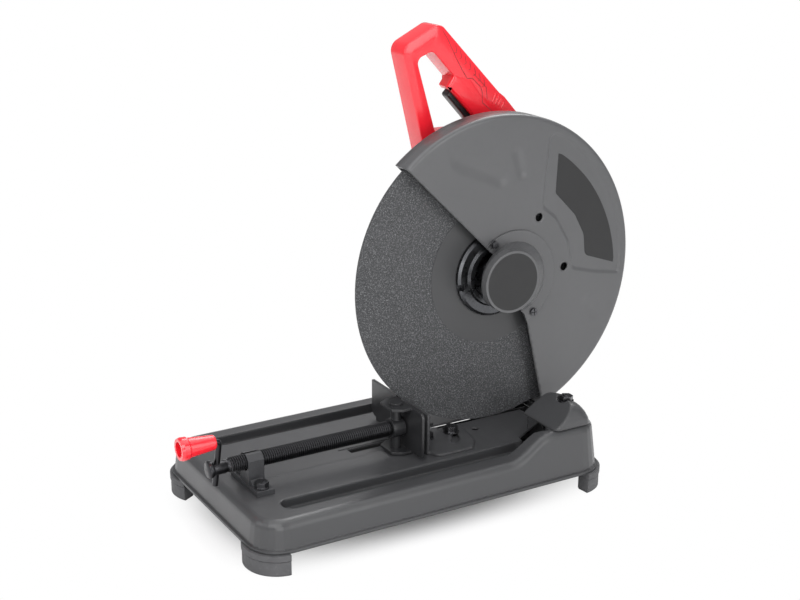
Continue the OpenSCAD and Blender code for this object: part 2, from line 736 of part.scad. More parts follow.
module fence_plate() color("#4a4b4d") {
    x0 = kerf_x1 + 0.5;
    x1 = cut_x + fence_half;
    translate([0, 0, deck_z]) linear_extrude(fence_t) fence_foot();
    translate([x0, fence_y, deck_z + 1]) cube([x1 - x0, fence_t, fence_top - deck_z - 1]);
}

module fence_pivot_bolt() color("#6f7174") translate([fence_pivot[0], fence_pivot[1], deck_z + fence_t])
    hex_bolt(fence_bolt_r, 13, 5.3, fence_t + 6, 8.5);

module fence_clamp_bolt() color("#6f7174") translate([arc_bolt[0], arc_bolt[1], deck_z + fence_t])
    hex_bolt(fence_bolt_r, 13, 6.5, fence_t + 6, 9);

// ---------- hinge ----------

module pivot_bracket() color("#3b3c3e") {
    difference() {
        union() {
            translate([lug_out_x, bracket_y0, tower_z]) cube([lug_in_x - lug_out_x,
                bracket_y1 - bracket_y0, bracket_t]);
            for (x = [lug_out_x, lug_in_x - lug_t]) x_plate(x, x + lug_t) union() {
                translate([pivot_y, pivot_z]) circle(r = lug_r);
                polygon([[bracket_y0 + 10, tower_z], [bracket_y1, tower_z],
                         [pivot_y + lug_r, pivot_z], [pivot_y - lug_r, pivot_z]]);
            }
        }
        at_pivot() x_cyl(pivot_r + fit, lug_out_x - 1, lug_in_x + 1);
        for (p = concat(bracket_holes, flush_holes, [stop_p])) translate([p[0], p[1], tower_z - 1])
            cylinder(r = 4 + fit, h = 12);
        for (p = flush_holes) translate([p[0], p[1], tower_z + bracket_t - 3]) cylinder(r = 7.2, h = 5);
    }
}

module bracket_bolts() color("#6f7174") {
        for (p = bracket_holes) translate([p[0], p[1], tower_z + bracket_t]) hex_bolt(4, 13, 5.3,
            bracket_t + 8);
        // low heads sunk into the plate under the barrel
        for (p = flush_holes) translate([p[0], p[1], tower_z + bracket_t - 3]) difference() {
            union() {
                cylinder(r = 7, h = 3);
                translate([0, 0, -10]) cylinder(r = 4, h = 11);
            }
            cylinder(r = 2.6, h = 5, $fn = 6);
        }
    }

module pivot_pin() color("#a9abae") at_pivot() {
    difference() {
        x_cyl(pivot_r, lug_out_x - 5, lug_in_x + 5);
        for (x = [lug_out_x - 3.2, lug_in_x + 2]) x_ring(pivot_r + 1, pivot_r - 1, x, x + 1.2);
    }
}

module pin_rings() color("#8b8d90") at_pivot()
    for (x = [lug_out_x - 3.2, lug_in_x + 2]) difference() {
        x_cyl(pivot_r + 3, x + 0.1, x + 1.1);
        x_cyl(pivot_r - 0.95, x - 1, x + 2);
        translate([x - 1, -2, 0]) cube([4, 4, 20]);
    }

spring_wire = 1.5;
spring_turns = 5;
spring_r = pivot_r + spring_wire + 1.4;
spring_x0 = lug_out_x + lug_t + gap;
spring_tang = 70;

// torsion spring round the pin: one leg down to the bracket, one tang into the barrel's end
module return_spring() color("#8b8d90") at_pivot() {
    step = 2 * spring_wire * 0.96;
    translate([spring_x0 + spring_wire, 0, 0]) rotate([0, 90, 0]) rotate_extrude() polygon(concat(
        [for (i = [0:spring_turns - 1], a = [-60:30:60])
            [spring_r + spring_wire * cos(a), i * step + spring_wire * sin(a)]],
        [for (i = [spring_turns - 1:-1:0], a = [60:-30:-60])
            [spring_r - spring_wire * cos(a), i * step + spring_wire * sin(a)]]));
    translate([spring_x0 + spring_wire, spring_r, tower_z + bracket_t - pivot_z])
        cylinder(r = 0.8 * spring_wire, h = pivot_z - tower_z - bracket_t);
    rotate([spring_tang, 0, 0]) translate([0, spring_r, 0])
        x_cyl(0.8 * spring_wire, spring_x0 + (spring_turns - 0.5) * step, barrel_x0 + 5);
}

// bolt that the lowered arm comes to rest on, with its lock nut
module depth_stop() color("#6f7174") translate([stop_p[0], stop_p[1], tower_z + bracket_t]) {
    cylinder(r = 4, h = stop_h - 5);
    translate([0, 0, -bracket_t - 4]) cylinder(r = 4, h = bracket_t + 5);
    cylinder(d = 13 / cos(30), h = 4, $fn = 6);
    translate([0, 0, stop_h - 5]) cylinder(d = 13 / cos(30), h = 5, $fn = 6);
}

// ---------- gear housing ----------

// outline round the two gears, grown by a wall
module housing_outline(r_spindle, r_motor) {
    hull() {
        circle(r = r_spindle, $fn = 72);
        translate([motor_y, motor_z]) circle(r = r_motor, $fn = 72);
    }
}

module arm_outline() {
    hull() {
        translate([0, -8]) circle(r = 34, $fn = 48);
        translate([pivot_y - wheel_y, pivot_z - wheel_z]) circle(r = barrel_r - 1, $fn = 48);
    }
}

module gear_housing() color("#55565a") difference() {
    union() {
        at_spindle() {
            x_plate(house_x0, house_x) housing_outline(house_r, house_motor_r);
            x_cyl(guard_screw_r + 7, house_x - eps, nose_x);
            x_plate(house_x0, arm_x1) arm_outline();
        }
        at_pivot() x_cyl(barrel_r, barrel_x0, barrel_x1);
    }
    at_spindle() {
        // gear space, open towards the motor
        x_plate(house_x0 - 1, cavity_x1) union() {
            circle(r = cavity_r);
            translate([motor_y, motor_z]) circle(r = motor_brg_r + 2);
        }
        x_cyl(front_brg_r + fit, house_x - front_brg_w - 1, 10);
        x_cyl(spindle_r + 4, cavity_x1 - 1, 10);
        x_cyl(in_flange_r + 2, nose_x - 6, 10);
        for (a = [45:90:315]) rotate([a, 0, 0]) translate([0, guard_screw_r, 0]) x_cyl(2.5 + fit,
            nose_x - 14, 10);
        // spindle lock plunger hole
        rotate([lock_angle, 0, 0]) translate([(gear_x0 + gear_x1) / 2, 0, 0]) cylinder(r = 4 + fit,
            h = 200);
    }
    at_pivot() {
        x_cyl(pivot_r + fit, -200, 50);
        // arc slot for the spring's tang, long enough for the whole stroke
        intersection() {
            x_ring(spring_r + spring_wire + gap, spring_r - spring_wire - gap, barrel_x0 - 1,
                barrel_x0 + 6);
            x_plate(barrel_x0 - 2, barrel_x0 + 7) rotate(spring_tang - 48)
                polygon([[0, 0], [60, 0], [60, 60 * tan(30)], [60 * cos(60), 60 * sin(60)]]);
        }
    }
}

lock_angle = 70;

module bearing_plate() color("#6b6d70") difference() {
    at_spindle() x_plate(plate_x0, house_x0 - 0) housing_outline(house_r, house_motor_r);
    at_spindle() x_cyl(rear_brg_r + fit, house_x0 - rear_brg_w, house_x0 + 1);
    at_spindle() x_cyl(spindle_r + 1.5, house_x0 - rear_brg_w - 1.5, house_x0 + 1);
    at_motor() x_cyl(motor_brg_r + fit, house_x0 - motor_brg_w, house_x0 + 1);
    at_motor() x_cyl(shaft_r + 3, plate_x0 - 1, house_x0 + 1);
}

module spindle_bearings() color("#b9bbbe") at_spindle() {
    x_ring(front_brg_r, spindle_r + 1.5 + fit, house_x - front_brg_w, house_x);
    x_ring(rear_brg_r, spindle_r - 2 + fit, house_x0 - rear_brg_w, house_x0);
}

module motor_bearings() color("#b9bbbe") at_motor() {
    x_ring(motor_brg_r, shaft_r + fit, house_x0 - motor_brg_w, house_x0);
    x_ring(tail_brg_r, shaft_r - 1 + fit, end_x0 + 6, end_x0 + 6 + tail_brg_w);
}

// ---------- motor ----------

module motor_housing() color("#2f3032") at_motor() difference() {
    x_cyl(motor_r, motor_x0, motor_x1);
    x_cyl(motor_r - motor_wall, motor_x0 - 1, motor_x1 + 1);
    for (s = [-1, 1]) translate([brush_x, 0, 0]) rotate([s * 90, 0, 0]) cylinder(r = brush_r + fit, h = 80);
}

brush_x = motor_x0 + 12;
brush_r = 7;
core_x0 = motor_x0 + 25;
core_x1 = motor_x1 - 21;
fan_x0 = motor_x1 - 16;
fan_x1 = motor_x1 - 4;
core_r = 27;

module end_cover() color("#2f3032") at_motor() difference() {
    union() {
        x_cyl(motor_r, end_x0 + 8, motor_x0);
        translate([end_x0, 0, 0]) rotate([0, 90, 0]) cylinder(r1 = motor_r - 8, r2 = motor_r, h = 8 + eps);
    }
    x_cyl(motor_r - motor_wall, end_x0 + 14, motor_x0 + 1);
    x_cyl(tail_brg_r + fit, end_x0 + 6, motor_x0 + 1);
    for (a = [0:30:330]) rotate([a, 0, 0]) translate([end_x0 - 1, -2, 18]) cube([16, 4, 20]);
}

module field_core() color("#8a6a4a") at_motor() difference() {
    union() {
        x_cyl(motor_r - motor_wall - 0.05, core_x0, core_x1);
        x_ring(44, 32, core_x0 - 4, core_x1 + 4);
    }
    x_cyl(core_r + 0.8, core_x0 - 20, core_x1 + 20);
}

module armature_core() color("#9a9da1") at_motor() {
    x_ring(core_r, shaft_r, core_x0 + 2, core_x1 - 2);
}

module commutator() color("#b87333") at_motor() x_ring(15, shaft_r, brush_x - 8, brush_x + 8);

module motor_shaft() color("#b9bbbe") at_motor() {
    x_cyl(shaft_r, end_x0 + 6 + tail_brg_w + 1, gear_x0 - 1);
    x_cyl(shaft_r - 1, end_x0 + 6, end_x0 + 6 + tail_brg_w + 2);
    x_plate(gear_x0 - 1, gear_x1 + 1) rotate(motor_angle + 180 - 180 / pinion_teeth)
        gear_outline(pinion_teeth, gear_m);
}

module cooling_fan() color("#2f3032") at_motor() {
    x_ring(14, shaft_r, fan_x0, fan_x1);
    x_ring(motor_r - motor_wall - 4, shaft_r, fan_x0, fan_x0 + 2);
    for (a = [0:30:330]) rotate([a, 0, 0]) translate([fan_x0 + 1, -1, 12])
        cube([fan_x1 - fan_x0 - 1, 2, motor_r - motor_wall - 4 - 13]);
}

module brush_holders() color("#b5893a") at_motor() for (s = [-1, 1]) rotate([s * 90, 0, 0])
    translate([brush_x, 0, 0]) difference() {
        translate([0, 0, 17]) cylinder(r = brush_r, h = motor_r - 17 - 6);
        translate([-3.5, -4.5, 0]) cube([7, 9, motor_r + 5]);
    }

module carbon_brushes() color("#1e1f20") at_motor() for (s = [-1, 1]) rotate([s * 90, 0, 0])
    translate([brush_x - 3.3, -4.3, 15 + fit]) cube([6.6, 8.6, 20]);

module brush_caps() color("#1e1f20") at_motor() for (s = [-1, 1]) rotate([s * 90, 0, 0])
    translate([brush_x, 0, motor_r - 6]) difference() {
        cylinder(r = brush_r, h = 6.5);
        translate([-8, -0.8, 5.3]) cube([16, 1.6, 3]);
    }

// ---------- spindle ----------

module spindle() color("#b9bbbe") at_spindle() difference() {
    union() {
        x_cyl(spindle_r - 2, house_x0 - rear_brg_w, gear_x0 + 1);
        x_cyl(spindle_r, gear_x0, gear_x1 + 1);
        x_cyl(spindle_r + 1.5, gear_x1, wheel_x0 - in_flange_t);
        x_cyl(spindle_r + 4.7, wheel_x0 - in_flange_t - eps, wheel_x1 + 4);
    }
    x_cyl(5, wheel_x1 - 22, wheel_x1 + 10);
}

module drive_gear() color("#9a9da1") at_spindle() difference() {
    x_plate(gear_x0, gear_x1) rotate(motor_angle) gear_outline(gear_teeth, gear_m);
    x_cyl(spindle_r, gear_x0 - 1, gear_x1 + 1);
    x_ring(34, 16, gear_x1 - 4, gear_x1 + 1);
}

module inner_flange() color("#8b8d90") at_spindle() difference() {
    x_cyl(in_flange_r, wheel_x0 - in_flange_t, wheel_x0);
    x_cyl(spindle_r + 4.7, wheel_x0 - in_flange_t - 1, wheel_x0 + 1);
    x_cyl(in_flange_r - 9, wheel_x0 - 1.2, wheel_x0 + 1);
}

module abrasive_wheel() color("#56575a") at_spindle() difference() {
    union() {
        x_cyl(wheel_r, wheel_x0, wheel_x1);
        x_ring(label_r, flange_r + 1, wheel_x1 - 0.5, wheel_x1 + 0.25);
    }
    x_cyl(spindle_r + 4.7, wheel_x0 - 1, wheel_x1 + 1);
}

module outer_flange() color("#6f7174") at_spindle() difference() {
    rotate([0, 90, 0]) rotate_extrude() polygon([
        [spindle_r + 4.7, wheel_x1], [flange_r, wheel_x1], [flange_r, wheel_x1 + 4], [flange_r - 3,
            wheel_x1 + 6],
        [flange_r - 12, wheel_x1 + 6], [flange_r - 14, wheel_x1 + flange_t], [flange_r - 20,
            wheel_x1 + flange_t],
        [flange_r - 22, wheel_x1 + 5], [spindle_r + 4.7, wheel_x1 + 5]]);
    // two wrench notches
    for (s = [0, 1]) rotate([s * 180 + 12, 0, 0]) translate([wheel_x1 + 1, flange_r - 7, -4]) cube([20,
        14, 8]);
}

module arbor_washer() color("#8b8d90") at_spindle()
    x_ring(17, 5.2, wheel_x1 + 5, wheel_x1 + 8);

module arbor_bolt() color("#4a4b4d") at_spindle() {
    x_cyl(4.9, wheel_x1 - 18, wheel_x1 + 9);
    translate([wheel_x1 + 8, 0, 0]) rotate([0, 90, 0]) cylinder(d = 17 / cos(30), h = 8, $fn = 6);
}

// ---------- guard ----------

// everything that the guard leaves open, as seen along X: the front and lower sector
module guard_mouth() {
    polygon([[-8.2, 24.5], [-8.2 - 190 * cos(44.3), 24.5 + 190 * sin(44.3)], [-260, 150], [-260, -260],
             [88, -260], [40.8 + 112 * 0.24, -63.8 - 112], [40.8, -63.8], [34, -50], [12, -30], [-8.2,
                 -10]]);
}

// field pressed inwards, behind the shoulder
module guard_field() {
    r = guard_r - guard_edge_r - 6;
    polygon(round_corners(concat([[r * cos(a_field1), r * sin(a_field1), 6], [60.5, 100, 14], [59, 75, 10],
        [105, 33, 10], [103, 1, 8]], [for (a = [a_field0:12:a_field1 - 6]) [r * cos(a), r * sin(a), 4]])));
}

module guard_cover() color("#4a4b4d") at_spindle() difference() {
    union() {
        difference() {
            rotate([0, 90, 0]) rotate_extrude() guard_profile();
            x_plate(guard_x1 - field_d, guard_x1 + 1) guard_field();
        }
        x_plate(guard_x1 - field_d - guard_wall, guard_x1 - field_d) guard_field();
    }
    x_plate(-60, 60) guard_mouth();
    x_cyl(31, -30, 60);
    for (p = [[52.1, 62.2], [90.3, -1.8]]) translate([0, p[0], p[1]]) x_cyl(5, -5, 40);
    for (p = [cover_pivot, cover_wing]) translate([0, p[0], p[1]]) x_cyl(2.5 + fit, -5, 40);
}

field_d = 1.2;
a_field0 = -7;
a_field1 = 69;

// section of the cover: flat disc, rounded edge, deep rim
module guard_profile() {
    rim_x0 = guard_x0 + guard_wall + 0.1;
    ro = guard_r;
    translate([0, guard_x1 - guard_wall]) square([ro - guard_edge_r, guard_wall]);
    translate([ro - guard_wall, rim_x0]) square([guard_wall, guard_x1 - guard_edge_r - rim_x0]);
    translate([ro - guard_edge_r, guard_x1 - guard_edge_r]) intersection() {
        difference() {
            circle(r = guard_edge_r);
            circle(r = guard_edge_r - guard_wall);
        }
        square(guard_edge_r);
    }
}

module guard_back() color("#4a4b4d") at_spindle() difference() {
    union() {
        x_cyl(guard_r, guard_x0, guard_x0 + guard_wall);
        x_ring(guard_r - guard_wall - 0.1, guard_r - 2 * guard_wall - 0.1, guard_x0, guard_x0 + 8);
    }
    x_plate(-60, 60) guard_mouth();
    x_cyl(hub_open_r, -60, 60);
    for (a = [45:90:315]) rotate([a, 0, 0]) translate([0, guard_screw_r, 0]) x_cyl(2.5 + fit, -60, 60);
}

module guard_screws() color("#8b8d90") at_spindle()
    for (a = [45:90:315]) rotate([a, 0, 0]) translate([nose_x + guard_wall, guard_screw_r, 0])
        pan_screw_x(2.5, 4.6, 2.4, 12);

// plan of the hub cover on the guard: a round plate with its front cut away along the mouth
module cover_plan(r) {
    difference() {
        translate(cover_c) circle(r = r);
        guard_mouth();
    }
}

function ring_at(x, c, r) = [for (a = [0:8:352]) [x, c[0] + r * cos(a), c[1] + r * sin(a)]];

// skin from the round foot on the guard to the round cap over the spindle
module cover_skin(foot_r, top_r, x0, x1) {
    loft([for (i = [0:4]) let(t = i / 4, e = ease(t), k = (e + t) / 2)
        ring_at(x0 + (x1 - x0) * t, cover_c * (1 - k), foot_r + (top_r - foot_r) * k)]);
}

module hub_cover() color("#4f5053") at_spindle() difference() {
    foot_x = guard_x1 + gap;
    union() {
        x_plate(foot_x, foot_x + 1.6) cover_plan(cover_r);
        difference() {
            cover_skin(cover_r - 13, cap_r + 0.3, foot_x + 0.5, cap_x1 - 8);
            x_plate(guard_x1 - 1, cap_x1 - 8) difference() {
                guard_mouth();
                circle(r = cap_r - 1);
            }
        }
        x_cyl(cap_r, cap_x1 - 9, cap_x1);
    }
    // hollow inside
    cover_skin(cover_r - 15, cap_r - 2.4, foot_x - 0.5, cap_x1 - 8);
    x_cyl(cap_r - 2, cap_x1 - 10, cap_x1 - 2);
    translate([0, cover_pivot[0], cover_pivot[1]]) x_cyl(2.5 + fit, -5, 60);
    // slot that lets the cover swing off its fixing bolt
    translate([0, cover_pivot[0], cover_pivot[1]]) intersection() {
        x_ring(wing_reach + 3, wing_reach - 3, foot_x - 1, foot_x + 3);
        x_plate(foot_x - 1, foot_x + 3) polygon([[0, 0], 200 * [cos(wing_a), sin(wing_a)],
            200 * [cos(wing_a + 30), sin(wing_a + 30)]]);
    }
    translate([0, cover_wing[0], cover_wing[1]]) x_cyl(3, foot_x - 1, 60);
}

wing_reach = norm(cover_wing - cover_pivot);
wing_a = atan2(cover_wing[1] - cover_pivot[1], cover_wing[0] - cover_pivot[0]);

module cover_screw() color("#8b8d90") at_spindle()
    translate([guard_x1 + gap + 1.6 + fit, cover_pivot[0], cover_pivot[1]]) pan_screw_x(2.5, 4.6, 2.6, 8);

module wing_bolt() color("#8b8d90") at_spindle() translate([guard_x1 + gap + 1.6 + fit, cover_wing[0],
    cover_wing[1]]) {
    x_cyl(2.5, -8, 1);
    x_cyl(4.6, 0, 0.8);
    rotate([0, 90, 0]) cylinder(d = 8 / cos(30), h = 4.5, $fn = 6);
}

// ---------- handle ----------

// outlines of the D handle relative to the spindle: each point carries its corner radius
d_outer = round_corners([[-66, 130, 12], [62, 130, 12], [61, 168, 10], [30, 200, 12], [-40, 270.5, 30],
                         [-49, 281.5, 10], [-100, 257.6, 12]]);
d_inner = round_corners([[-51, 160, 7], [24, 160, 7], [-60.2, 250.3, 6], [-75, 241.5, 6]]);

// one half of the D, from the middle plane out to its rounded face
module handle_shell(side) {
    x1 = handle_x + side * handle_t / 2;
    at_spindle() difference() {
        x_loft(edge_levels(handle_x, x1, handle_edge), d_outer);
        x_loft(hole_levels(handle_x, x1, handle_edge), d_inner);
    }
}

// point in the grip's own frame: along the grip downwards, then out of its back
function grip_point(u, v) = [grip_p[0] + u * cos(grip_a) + v * sin(grip_a),
    grip_p[1] - u * sin(grip_a) + v * cos(grip_a)];

// block that carries the trigger, in front of the grip's lower half
module trigger_boss(side) {
    outline = round_corners([for (p = [[19.5, 5, 4], [trigger_u - 14.4, -14, 3.7], [trigger_u - 9.5,
        -12.3, 2],
            [trigger_u + 58, -12, 4], [trigger_u + 60, 8, 4], [trigger_u, 14, 5]])
        concat(grip_point(p[0], p[1]), [p[2]])]);
    at_spindle() x_loft(edge_levels(handle_x, handle_x + side * (handle_t / 2 - 1), 3), outline);
}

// levels of a hole that flares out at one face
function hole_levels(flat_x, round_x, r) = let(s = sign(round_x - flat_x), e = edge_levels(flat_x,
    round_x, r),
    inner = [for (l = e) [l[0] == flat_x ? l[0] - s : l[0], -l[1]]])
    s > 0 ? concat(inner, [[round_x + s, -r]]) : concat([[round_x + s, -r]], inner);

// neck of the handle, shaped to sit on the gear housing
module handle_neck(x0, x1) {
    at_spindle() x_plate(x0, x1) difference() {
        polygon([[-58, 134], [56, 134], [78, 70], [40, 20], [-30, 38]]);
        offset(delta = fit) housing_outline(house_r, house_motor_r);
    }
}

// the grip's own frame: along it downwards is +Y, out of its back is +Z
module at_grip() { at_spindle() translate([0, grip_p[0], grip_p[1]]) rotate([-grip_a, 0, 0]) children(); }

grip_p = [-45, 234.4];
grip_a = 46.4;

module handle_half(side) {
    difference() {
        union() {
            handle_shell(side);
            trigger_boss(side);
            handle_neck(side > 0 ? handle_x : handle_x - 14, side > 0 ? handle_x + 14 : handle_x);
        }
        at_grip() {
            // pocket for the trigger, and behind it one for the switch
            translate([handle_x - 8.5, trigger_u - 6, -20]) cube([17, 56, 30]);
            translate([handle_x - 8.5, trigger_u + 4, 9]) cube([17, 32, 12]);
            translate([0, trigger_u, 3]) x_cyl(2 + fit, handle_x - 12, handle_x + 12);
            translate([0, lock_u, 16]) x_cyl(5 + fit, handle_x - 30, handle_x - 2);
        }
        at_spindle() for (p = handle_screw_p) translate([0, p[0], p[1]]) {
            x_cyl(2.15 + fit, handle_x - 30, handle_x + 13);
            x_cyl(4.2, handle_x - 30, handle_x - 9);
        }
    }
}

trigger_u = 37;
lock_u = 18;
handle_screw_p = [[-84, 248], [-58, 145], [-43, 256], [46, 148]];

module handle_right() color("#d8242f") handle_half(1);
module handle_left() color("#d8242f") handle_half(-1);
module handle_screws() color("#8b8d90") at_spindle()
    for (p = handle_screw_p) translate([handle_x - 9.1, p[0], p[1]]) mirror([1, 0, 0]) pan_screw_x(2.15,
        4, 2.4, 21);

module switch_body() color("#1e1f20") at_grip()
    translate([handle_x - 8.4, trigger_u + 4.2, 9.8]) cube([16.8, 31.6, 11]);

// curved finger lever that turns on its own cross pin
module trigger() color("#1e1f20") at_grip() {
    x_plate(handle_x - 8, handle_x + 8) polygon(round_corners([
        [trigger_u - 4.6, 6, 2], [trigger_u - 4.6, -12.6, 1], [trigger_u - 7.5, -14.6, 1],
        [trigger_u - 7, -20, 3], [trigger_u + 14, -20.8, 20], [trigger_u + 40, -24, 4], [trigger_u + 43,
            -16, 4],
        [trigger_u + 41, 3, 2], [trigger_u + 10, 7, 3]]));
    translate([0, trigger_u, 3]) x_cyl(2, handle_x - 11.5, handle_x + 11.5);
}

module lock_off_button() color("#1e1f20") at_grip()
    translate([0, lock_u, 16]) x_cyl(5, handle_x - handle_t / 2 - 5, handle_x - 7);

// short sleeve where the mains lead would go in
module cord_gland() color("#1e1f20") at_spindle() translate([handle_x, 0, 148]) difference() {
    union() {
        y_cyl(7, 62 + fit, 82);
        y_cyl(9, 62 + fit, 66);
    }
    y_cyl(3.6, 64, 90);
}

module spindle_lock() color("#1e1f20") at_spindle() rotate([lock_angle, 0, 0])
    translate([(gear_x0 + gear_x1) / 2, 0, gear_or + 5]) {
        cylinder(r = 4, h = 20);
        translate([0, 0, 10]) cylinder(r = 7, h = 10);
    }

// ---------- build ----------
base_pan();
rear_cover();
rubber_feet();
foot_screws();
cover_bolt();
spindle_block();
block_bolts();
fence_left();
fence_left_bolts();
fence_pivot_bolt();
fence_clamp_bolt();
pivot_bracket();
bracket_bolts();
pivot_pin();
pin_rings();
return_spring();
depth_stop();
fence_plate();
jaw_pin();
vise_jaw();
vise_screw();
crank_rod();
crank_grip();
gear_housing();
bearing_plate();
motor_housing();
end_cover();
field_core();
brush_holders();
carbon_brushes();
brush_caps();
spindle_bearings();
motor_bearings();
guard_back();
guard_cover();
guard_screws();
cover_screw();
wing_bolt();
hub_cover();
handle_left();
handle_right();
handle_screws();
switch_body();
cord_gland();
trigger();
lock_off_button();
spindle_lock();
spindle();
drive_gear();
inner_flange();
abrasive_wheel();
outer_flange();
arbor_washer();
arbor_bolt();
motor_shaft();
armature_core();
commutator();
cooling_fan();
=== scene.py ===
import math

import bmesh
import bpy
from mathutils import Matrix, Vector
from mathutils.bvhtree import BVHTree
from mathutils.geometry import delaunay_2d_cdt


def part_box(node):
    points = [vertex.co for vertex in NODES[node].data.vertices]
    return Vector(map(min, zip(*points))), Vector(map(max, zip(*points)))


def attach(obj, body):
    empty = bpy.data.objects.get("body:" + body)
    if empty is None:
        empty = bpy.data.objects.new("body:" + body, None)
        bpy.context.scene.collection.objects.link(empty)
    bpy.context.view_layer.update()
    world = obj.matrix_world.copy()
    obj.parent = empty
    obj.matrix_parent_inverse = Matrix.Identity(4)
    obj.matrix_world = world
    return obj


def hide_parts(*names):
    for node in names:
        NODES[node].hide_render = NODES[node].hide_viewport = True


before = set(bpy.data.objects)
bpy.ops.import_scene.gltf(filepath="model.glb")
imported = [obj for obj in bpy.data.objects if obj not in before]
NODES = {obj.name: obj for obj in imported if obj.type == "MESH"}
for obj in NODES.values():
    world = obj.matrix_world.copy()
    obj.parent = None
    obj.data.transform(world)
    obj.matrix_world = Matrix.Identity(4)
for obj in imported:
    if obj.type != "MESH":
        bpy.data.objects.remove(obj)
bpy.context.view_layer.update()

scene = bpy.context.scene
scene.view_settings.view_transform = "Standard"

# the pieces below are drawn in millimetres and stored in metres
MM = 0.001


def centre(node):
    low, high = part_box(node)
    return (low + high) / 2


SPINDLE = centre("abrasive_wheel")
SY, SZ = SPINDLE.y / MM, SPINDLE.z / MM
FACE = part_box("guard_cover")[1].x / MM


# ---------- camera, floor and light ----------

# the photograph's camera: place in metres, angles in degrees, lens in millimetres
CAMERA_PLACE = Vector((1.26196, -0.73084, 0.70135))
CAMERA_AZIMUTH, CAMERA_ELEVATION, CAMERA_ROLL = 59.344, 18.167, 0.28
CAMERA_LENS = 63.05

# grey of the world for the rays that light the part; the camera sees white
AMBIENT = (0.42, 0.42, 0.43)

FLOOR_REACH = 6.0
FLOOR_DROP = 0.0004
# the shadow's patch on the floor: how it is squashed, and where it begins and ends to fade into white
SHADOW_SQUASH = (1.35, 0.8, 1)
SHADOW_FADE = (0.1, 0.25)


def make_camera():
    data = bpy.data.cameras.new("camera")
    data.lens = CAMERA_LENS
    data.sensor_width = 36.0
    data.clip_start = 0.05
    data.clip_end = 60
    cam = bpy.data.objects.new("camera", data)
    scene.collection.objects.link(cam)
    az, el, roll = (math.radians(a) for a in (CAMERA_AZIMUTH, CAMERA_ELEVATION, CAMERA_ROLL))
    forward = Vector((-math.sin(az) * math.cos(el), math.cos(az) * math.cos(el), -math.sin(el)))
    right = Vector((math.cos(az), math.sin(az), 0))
    up = right.cross(forward)
    right, up = right * math.cos(roll) + up * math.sin(roll), up * math.cos(roll) - right * math.sin(roll)
    turn = Matrix((right, up, -forward)).transposed()
    cam.matrix_world = Matrix.Translation(CAMERA_PLACE) @ turn.to_4x4()
    scene.camera = cam


def area_light(name, place, target, size, power):
    data = bpy.data.lights.new(name, "AREA")
    data.shape = "RECTANGLE"
    data.size, data.size_y = size
    data.energy = power
    lamp = bpy.data.objects.new(name, data)
    scene.collection.objects.link(lamp)
    lamp.location = place
    lamp.rotation_euler = (Vector(target) - Vector(place)).to_track_quat("-Z", "Y").to_euler()


def seen_directly(tree):
    """1 for the camera's rays, straight or through glass, and 0 for the rays that light the part."""
    path = tree.nodes.new("ShaderNodeLightPath")
    either = tree.nodes.new("ShaderNodeMath")
    either.operation = "MAXIMUM"
    tree.links.new(path.outputs["Is Camera Ray"], either.inputs[0])
    tree.links.new(path.outputs["Is Transmission Ray"], either.inputs[1])
    return either.outputs[0]


def make_world():
    world = bpy.data.worlds.new("world")
    scene.world = world
    world.use_nodes = True
    tree = world.node_tree
    back = tree.nodes["Background"]
    mix = tree.nodes.new("ShaderNodeMix")
    mix.data_type = "RGBA"
    mix.inputs[6].default_value = (*AMBIENT, 1)
    mix.inputs[7].default_value = (1, 1, 1, 1)
    tree.links.new(seen_directly(tree), mix.inputs[0])
    tree.links.new(mix.outputs[2], back.inputs["Color"])


def make_floor():
    """Pale floor that fades to plain white for the camera, so that only the contact shadow is left."""
    mesh = bpy.data.meshes.new("floor")
    corners = [(x * FLOOR_REACH, y * FLOOR_REACH, 0) for x, y in ((-1, -1), (1, -1), (1, 1), (-1, 1))]
    mesh.from_pydata(corners, [], [(0, 1, 2, 3)])
    floor = bpy.data.objects.new("floor", mesh)
    floor.location.z = -FLOOR_DROP
    scene.collection.objects.link(floor)
    material = bpy.data.materials.new("floor")
    material.use_nodes = True
    tree = material.node_tree
    shader = tree.nodes["Principled BSDF"]
    shader.inputs["Base Color"].default_value = (0.86, 0.86, 0.86, 1)
    shader.inputs["Roughness"].default_value = 0.9
    shader.inputs["Specular IOR Level"].default_value = 0.1
    place = tree.nodes.new("ShaderNodeTexCoord")
    squash = tree.nodes.new("ShaderNodeMapping")
    squash.inputs["Scale"].default_value = SHADOW_SQUASH
    tree.links.new(place.outputs["Object"], squash.inputs["Vector"])
    length = tree.nodes.new("ShaderNodeVectorMath")
    length.operation = "LENGTH"
    tree.links.new(squash.outputs[0], length.inputs[0])
    fade = tree.nodes.new("ShaderNodeMapRange")
    fade.interpolation_type = "SMOOTHSTEP"
    fade.inputs["From Min"].default_value, fade.inputs["From Max"].default_value = SHADOW_FADE
    tree.links.new(length.outputs["Value"], fade.inputs["Value"])
    both = tree.nodes.new("ShaderNodeMath")
    both.operation = "MULTIPLY"
    tree.links.new(fade.outputs["Result"], both.inputs[0])
    tree.links.new(seen_directly(tree), both.inputs[1])
    white = tree.nodes.new("ShaderNodeEmission")
    white.inputs["Color"].default_value = (1, 1, 1, 1)
    blend = tree.nodes.new("ShaderNodeMixShader")
    tree.links.new(both.outputs[0], blend.inputs[0])
    tree.links.new(shader.outputs[0], blend.inputs[1])
    tree.links.new(white.outputs[0], blend.inputs[2])
    tree.links.new(blend.outputs[0], tree.nodes["Material Output"].inputs["Surface"])
    mesh.materials.append(material)


